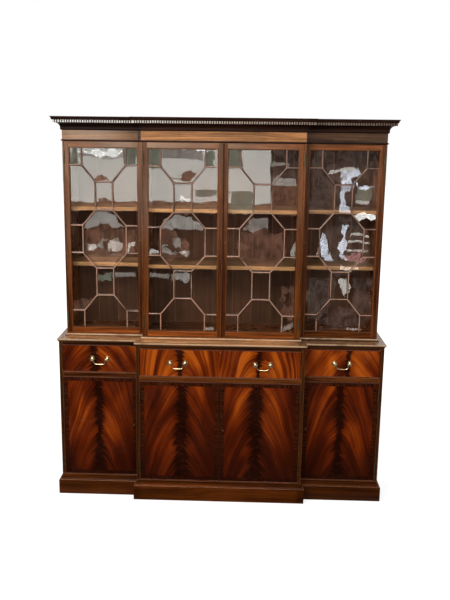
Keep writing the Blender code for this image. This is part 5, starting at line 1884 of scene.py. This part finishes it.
def make_hinges(sizes, colours):
    """Two brass butts to each door, their knuckles shared out in turn between the door and the case."""
    finish = brass(colours, "hinge_brass", bright=0.22, roughness=0.42, dirt=0.9)
    for door in DOORS:
        for part, body, toward in (("case", "case", door.hung), ("door", door.body, -door.hung)):
            bm = bmesh.new()
            for bottom in (door.bottom + HINGE_INSET, door.top - HINGE_INSET - HINGE_LENGTH):
                step = HINGE_LENGTH / HINGE_KNUCKLES
                for k in range(HINGE_KNUCKLES):
                    if (k % 2 == 0) != (part == "case"):
                        continue
                    add_knuckle(bm, door, bottom + k * step, step, toward)
            bmesh.ops.recalc_face_normals(bm, faces=bm.faces)
            name = f"{door.name}_{part}_hinges"
            mesh = plain_mesh(bm, name, HINGE_SHARP_ANGLE)
            place_piece(name, mesh, finish, body)


def add_knuckle(bm, door, bottom, length, toward):
    """A knuckle round the hinge's axis, with the edge of its leaf bedded in the wood beside it."""
    x, y = door.axis
    bed = KNUCKLE_RADIUS + SEAT_GAP + LEAF_BED
    meet = math.degrees(math.acos(LEAF_REACH / KNUCKLE_RADIUS))
    outline = arc((0, 0), (KNUCKLE_RADIUS, KNUCKLE_RADIUS), meet, -270, KNUCKLE_SIDES)
    outline += [(0, bed), (LEAF_REACH, bed)]
    rings = []
    for z in (bottom + KNUCKLE_GAP, bottom + length - KNUCKLE_GAP):
        rings.append([bm.verts.new((x + toward * px, y + py, z)) for px, py in outline])
    closed_body(bm, rings)


def keyhole_places():
    """Where each keyhole is: name, body, X, front face and Z."""
    by_name = {door.name: door for door in DOORS}
    places = []
    for level in ("upper", "lower"):
        for bay, side in KEYHOLE_SIDES.items():
            door = by_name[f"{level}_{bay}"]
            glazed = level == "upper"
            inset = STILE * 0.5 if glazed else KEYHOLE_INSET
            x = door.low + inset if side == LEFT else door.high - inset
            y = door.face if glazed else door.face + VENEER_SETBACK
            z = (door.bottom + door.top) / 2 + (0.0 if glazed else KEYHOLE_OVER_MIDDLE)
            places.append((door.name, door.body, x, y, z))
    low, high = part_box("centre_drawer_front")
    z = high.z - KEYHOLE_UNDER_TOP
    places.append(("centre_drawer", "centre_drawer", 0.0, low.y + VENEER_SETBACK, z))
    return places


def make_keyholes(sizes, colours):
    """Small brass ring escutcheons, each with a keyhole that is a near-black insert of painted shade."""
    finish = brass(colours, "escutcheon_brass", bright=0.6, roughness=0.3, dirt=0.8)
    # A near-black finish for the keyhole inserts, painted shade where the hole would be
    dark = wood("keyhole_dark", (0.004, 0.002, 0.001), (0.010, 0.005, 0.003), 0.6, gloss=0.1)
    for name, body, x, face, z in keyhole_places():
        inner = KEYHOLE_RADIUS - KEYHOLE_RIM
        half = (KEYHOLE_RIM / 2, KEYHOLE_PROUD * 0.5)
        profile = [(inner, -KEYHOLE_BED), (inner, half[1])]
        profile += arc((inner + half[0], half[1]), half, 180, 0, 6)[1:]
        profile += [(KEYHOLE_RADIUS, -KEYHOLE_BED), (inner, -KEYHOLE_BED)]
        bm = turned(profile, 24, TO_FRONT, Vector((x, face, z)))
        bmesh.ops.remove_doubles(bm, verts=bm.verts, dist=0.000001)
        mesh = plain_mesh(bm, name + "_escutcheon")
        place_piece(f"{name}_escutcheon", mesh, finish, body, weighted=False)
        stock = Stock(name + "_keyhole", 0.0)
        eye, slot, foot = inner * KEYHOLE_EYE, inner * KEYHOLE_SLOT, z - inner * KEYHOLE_FOOT
        outline = arc((x, z + inner * KEYHOLE_EYE_UP), (eye, eye), -50, 230, 10)
        outline += [(x - slot, foot), (x + slot, foot)]
        stock.add_prism(outline, "Y", face - KEYHOLE_FRONT, face + KEYHOLE_BACK, "Y")
        stock.place(f"{name}_keyhole", dark, body=body)


def make_meeting_bead(sizes, colours):
    """A bead on the closing edge of the right-hand door of the glazed pair."""
    door = next(door for door in UPPER_DOORS if door.name == "upper_centre_right")
    stock = Stock("meeting_bead", 0.0)
    half = MEETING_BEAD / 2
    x = door.low + half - DOOR_GAP / 4
    outline = arc((x, door.face - SEAT_GAP), (half, MEETING_PROUD), 180, 360, 8)
    stock.add_prism(outline, "Z", door.bottom + MEETING_SHORT, door.top - MEETING_SHORT, "Z")
    stock.place("upper_meeting_bead", bead_wood(), body=door.body)


# The stage


def make_camera():
    camera = bpy.data.cameras.new("camera")
    camera.sensor_width = SENSOR
    camera.lens = FOCAL_PIXELS / PHOTO_HEIGHT * SENSOR
    camera.shift_x = (PHOTO_WIDTH / 2 - OPTICAL_CENTRE[0]) / PHOTO_HEIGHT
    camera.shift_y = (OPTICAL_CENTRE[1] - PHOTO_HEIGHT / 2) / PHOTO_HEIGHT
    camera.clip_start = 0.1
    obj = stand("camera", camera)
    turn = Matrix.Rotation(CAMERA_YAW, 4, "Z") @ Matrix.Rotation(math.pi / 2 + CAMERA_PITCH, 4, "X")
    obj.matrix_world = Matrix.Translation(CAMERA_PLACE) @ turn @ Matrix.Rotation(CAMERA_ROLL, 4, "Z")
    bpy.context.scene.camera = obj


def make_world():
    """White behind the object and in its gloss, and a softer light on it from all round."""
    world = bpy.data.worlds.new("studio")
    world.use_nodes = True
    world.node_tree.nodes.clear()
    w = Wiring(world.node_tree)
    soft = w.add("ShaderNodeBackground", {"Color": SKY, "Strength": SKY_STRENGTH})
    white = w.add("ShaderNodeBackground", {"Color": (1.0, 1.0, 1.0, 1.0), "Strength": 1.0})
    both = w.add("ShaderNodeMixShader", {0: shown_directly(w), 1: soft, 2: white})
    end = world.node_tree.nodes.new("ShaderNodeOutputWorld")
    world.node_tree.links.new(both, end.inputs[0])
    bpy.context.scene.world = world


def shown_directly(w):
    """Whether a ray comes from the camera, or from a gloss or a glass on its way to it."""
    through = w.maths("MAXIMUM", w.light_path("Is Glossy Ray"), w.light_path("Is Transmission Ray"))
    return w.maths("MAXIMUM", w.light_path("Is Camera Ray"), through)


def stage_object(name, mesh, material):
    obj = stand(name, mesh)
    mesh.materials.append(material)
    return obj


def make_floor():
    material, w = new_material("pale_floor")
    place = w.object_place()
    away = w.add("ShaderNodeVectorMath", {0: place}, output=1, operation="LENGTH")
    speckle = w.grained(place, (30, 30, 30), detail=2)
    colour = w.mix(speckle, (0.44, 0.44, 0.44, 1.0), (0.47, 0.47, 0.47, 1.0))
    matt = w.add("ShaderNodeBsdfDiffuse", {"Color": colour})
    level = w.times(shown_directly(w), w.fit(away, 1.2, 3.5, 0.78, 1.0))
    glow = w.add("ShaderNodeEmission", {"Color": (1, 1, 1, 1), "Strength": level})
    finish_with(material, w, w.add("ShaderNodeAddShader", {0: matt, 1: glow}))
    r = FLOOR_REACH
    points = [(x, y, FLOOR_LEVEL) for x, y in ((-r, -r), (r, -r), (r, r), (-r, r))]
    stage_object("floor", mesh_from("floor", points, faces=[(0, 1, 2, 3)]), material)


def add_lamp(name, place, aim, size, power, colour):
    lamp = bpy.data.lights.new(name, "AREA")
    lamp.shape = "RECTANGLE"
    lamp.size, lamp.size_y = size
    lamp.energy = power
    lamp.color = colour
    obj = stand(name, lamp)
    way = (Vector(aim) - Vector(place)).to_track_quat("-Z", "Y")
    obj.matrix_world = Matrix.Translation(place) @ way.to_matrix().to_4x4()


def reflected_finish():
    """A glow that only reflections show. Rays that just pass through the glass go on to the backdrop."""
    material, w = new_material("reflected_room")
    place = w.object_place()
    cloud = w.grained(place, (15, 15, 9), detail=4, roughness=0.6, distortion=1.0)
    glow = w.add("ShaderNodeAttribute", attribute_name=GLOW)
    crumpled = w.add("ShaderNodeAttribute", output=3, attribute_name=GLOW)
    change = w.times(w.fit(cloud, 0.36, 0.64, -1.0, 1.0, smooth=False), crumpled)
    colour = w.dim(glow, w.plus(change, 1.0))
    light = w.add("ShaderNodeEmission", {"Color": colour, "Strength": 1.0})
    clear = w.add("ShaderNodeBsdfTransparent")
    mirrored = w.maths("GREATER_THAN", w.light_path("Glossy Depth"), 0.5)
    return finish_with(material, w, w.add("ShaderNodeMixShader", {0: mirrored, 1: clear, 2: light}))


def ragged(outline, chance):
    """An outline with each side broken into short lengths that wander off it."""
    found = []
    for start, end in zip(outline, outline[1:] + outline[:1]):
        found.append(start)
        for share in (0.25, 0.5, 0.75):
            across = chance.uniform(-RAGGEDNESS, RAGGEDNESS)
            x, z = between(start, end, share)
            found.append((x - (end[1] - start[1]) * across, z + (end[0] - start[0]) * across))
    return found


def make_reflections():
    """The room that the glass and the polish mirror."""
    points, faces, glows = [], [], []
    chance = random.Random("room")
    for kind, y, outline in ROOM_SHAPES:
        if len(outline) == 2:
            (low_x, low_z), (high_x, high_z) = outline
            outline = ((low_x, low_z), (high_x, low_z), (high_x, high_z), (low_x, high_z))
        elif len(outline) > RAGGED_OVER:
            outline = ragged(outline, chance)
        faces.append(range(len(points), len(points) + len(outline)))
        points += [(x / 100, y + ROOM_SPACING * len(faces), z / 100) for x, z in outline]
        glows += [ROOM_LIGHTS[kind]] * len(outline)
    for kind, z, (low_x, low_y), (high_x, high_y) in ROOM_FLATS:
        faces.append(range(len(points), len(points) + 4))
        points += [(low_x, low_y, z), (high_x, low_y, z), (high_x, high_y, z), (low_x, high_y, z)]
        glows += [ROOM_LIGHTS[kind]] * 4
    mesh = mesh_from("reflected_room", points, faces=[tuple(face) for face in faces])
    layer = mesh.color_attributes.new(GLOW, "FLOAT_COLOR", "POINT")
    for value, light in zip(layer.data, glows):
        value.color = light
    obj = stage_object("reflected_room", mesh, reflected_finish())
    obj.visible_camera = False
    obj.visible_diffuse = False
    obj.visible_shadow = False
    obj.visible_volume_scatter = False


def make_stage():
    bpy.context.scene.view_settings.view_transform = "Standard"
    make_camera()
    make_world()
    make_floor()
    for name, lamp in LAMPS.items():
        add_lamp(name, *lamp)
    make_reflections()


def settings(context):
    return context.scene.bookcase_sizes, context.scene.bookcase_colours


class BOOKCASE_OT_plinth(bpy.types.Operator):
    """Make the moulded plinth"""

    bl_idname = "bookcase.plinth"
    bl_label = "Plinth"

    def execute(self, context):
        make_plinth(*settings(context))
        return {"FINISHED"}


class BOOKCASE_OT_case(bpy.types.Operator):
    """Make the sides, partitions, boards and rails"""

    bl_idname = "bookcase.case"
    bl_label = "Case boards"

    def execute(self, context):
        make_case(*settings(context))
        return {"FINISHED"}


class BOOKCASE_OT_backs(bpy.types.Operator):
    """Make the boards of both backs"""

    bl_idname = "bookcase.backs"
    bl_label = "Backs"

    def execute(self, context):
        make_backs(*settings(context))
        return {"FINISHED"}


class BOOKCASE_OT_shelves(bpy.types.Operator):
    """Make the six shelves and their lippings"""

    bl_idname = "bookcase.shelves"
    bl_label = "Shelves"

    def execute(self, context):
        make_shelves(*settings(context))
        return {"FINISHED"}


class BOOKCASE_OT_waist(bpy.types.Operator):
    """Make the moulded board between the base and the top"""

    bl_idname = "bookcase.waist"
    bl_label = "Waist moulding"

    def execute(self, context):
        make_waist(*settings(context))
        return {"FINISHED"}


class BOOKCASE_OT_cornice(bpy.types.Operator):
    """Make the bead, frieze and crown of the cornice"""

    bl_idname = "bookcase.cornice"
    bl_label = "Cornice"

    def execute(self, context):
        make_cornice(*settings(context))
        return {"FINISHED"}


class BOOKCASE_OT_dentils(bpy.types.Operator):
    """Make the dentils and the strip that carries them"""

    bl_idname = "bookcase.dentils"
    bl_label = "Dentils"

    def execute(self, context):
        make_dentils(*settings(context))
        return {"FINISHED"}


class BOOKCASE_OT_cupboard_doors(bpy.types.Operator):
    """Make the four veneered doors with their cock beads"""

    bl_idname = "bookcase.cupboard_doors"
    bl_label = "Cupboard doors"

    def execute(self, context):
        make_cupboard_doors(*settings(context))
        return {"FINISHED"}


class BOOKCASE_OT_drawers(bpy.types.Operator):
    """Make the three drawers with their fronts and boxes"""

    bl_idname = "bookcase.drawers"
    bl_label = "Drawers"

    def execute(self, context):
        make_drawers(*settings(context))
        return {"FINISHED"}


class BOOKCASE_OT_handles(bpy.types.Operator):
    """Make the four swan-neck handles"""

    bl_idname = "bookcase.handles"
    bl_label = "Handles"

    def execute(self, context):
        make_handles(*settings(context))
        return {"FINISHED"}


class BOOKCASE_OT_glazed_doors(bpy.types.Operator):
    """Make the frames of the glazed doors"""

    bl_idname = "bookcase.glazed_doors"
    bl_label = "Glazed doors"

    def execute(self, context):
        make_glazed_doors(*settings(context))
        return {"FINISHED"}


class BOOKCASE_OT_glazing(bpy.types.Operator):
    """Make the glazing bars and the panes"""

    bl_idname = "bookcase.glazing"
    bl_label = "Glazing"

    def execute(self, context):
        make_glazing(*settings(context))
        return {"FINISHED"}


class BOOKCASE_OT_hinges(bpy.types.Operator):
    """Make the butt hinges of all doors"""

    bl_idname = "bookcase.hinges"
    bl_label = "Hinges"

    def execute(self, context):
        make_hinges(*settings(context))
        return {"FINISHED"}


class BOOKCASE_OT_keyholes(bpy.types.Operator):
    """Make the ring escutcheons and their keyholes"""

    bl_idname = "bookcase.keyholes"
    bl_label = "Keyholes"

    def execute(self, context):
        make_keyholes(*settings(context))
        return {"FINISHED"}


class BOOKCASE_OT_meeting_bead(bpy.types.Operator):
    """Make the bead where the glazed pair meets"""

    bl_idname = "bookcase.meeting_bead"
    bl_label = "Meeting bead"

    def execute(self, context):
        make_meeting_bead(*settings(context))
        return {"FINISHED"}


class BOOKCASE_OT_stage(bpy.types.Operator):
    """Make the floor, the light, the camera and the room that is reflected"""

    bl_idname = "bookcase.stage"
    bl_label = "Stage"

    def execute(self, context):
        make_stage()
        return {"FINISHED"}


OPERATORS = [
    BOOKCASE_OT_plinth,
    BOOKCASE_OT_case,
    BOOKCASE_OT_backs,
    BOOKCASE_OT_shelves,
    BOOKCASE_OT_waist,
    BOOKCASE_OT_cornice,
    BOOKCASE_OT_dentils,
    BOOKCASE_OT_cupboard_doors,
    BOOKCASE_OT_drawers,
    BOOKCASE_OT_handles,
    BOOKCASE_OT_glazed_doors,
    BOOKCASE_OT_glazing,
    BOOKCASE_OT_hinges,
    BOOKCASE_OT_keyholes,
    BOOKCASE_OT_meeting_bead,
    BOOKCASE_OT_stage,
]


class BOOKCASE_PT_pieces(bpy.types.Panel):
    """Lists the bookcase's sizes, colours and pieces."""

    bl_idname = "BOOKCASE_PT_pieces"
    bl_label = "Breakfront bookcase"
    bl_space_type = "VIEW_3D"
    bl_region_type = "UI"
    bl_category = "Bookcase"

    def draw(self, context):
        for group in (context.scene.bookcase_sizes, context.scene.bookcase_colours):
            box = self.layout.box()
            for name in group.bl_rna.properties.keys():
                if name not in ("rna_type", "name"):
                    box.prop(group, name)
        for kind in OPERATORS:
            self.layout.operator(kind.bl_idname)


CLASSES = [BookcaseSizes, BookcaseColours, *OPERATORS, BOOKCASE_PT_pieces]


def register():
    for kind in CLASSES:
        bpy.utils.register_class(kind)
    bpy.types.Scene.bookcase_sizes = bpy.props.PointerProperty(type=BookcaseSizes)
    bpy.types.Scene.bookcase_colours = bpy.props.PointerProperty(type=BookcaseColours)


def unregister():
    del bpy.types.Scene.bookcase_sizes
    del bpy.types.Scene.bookcase_colours
    for kind in reversed(CLASSES):
        bpy.utils.unregister_class(kind)


def main():
    register()
    for kind in OPERATORS:
        getattr(bpy.ops.bookcase, kind.bl_idname.split(".")[1])()


if __name__ == "__main__":
    main()
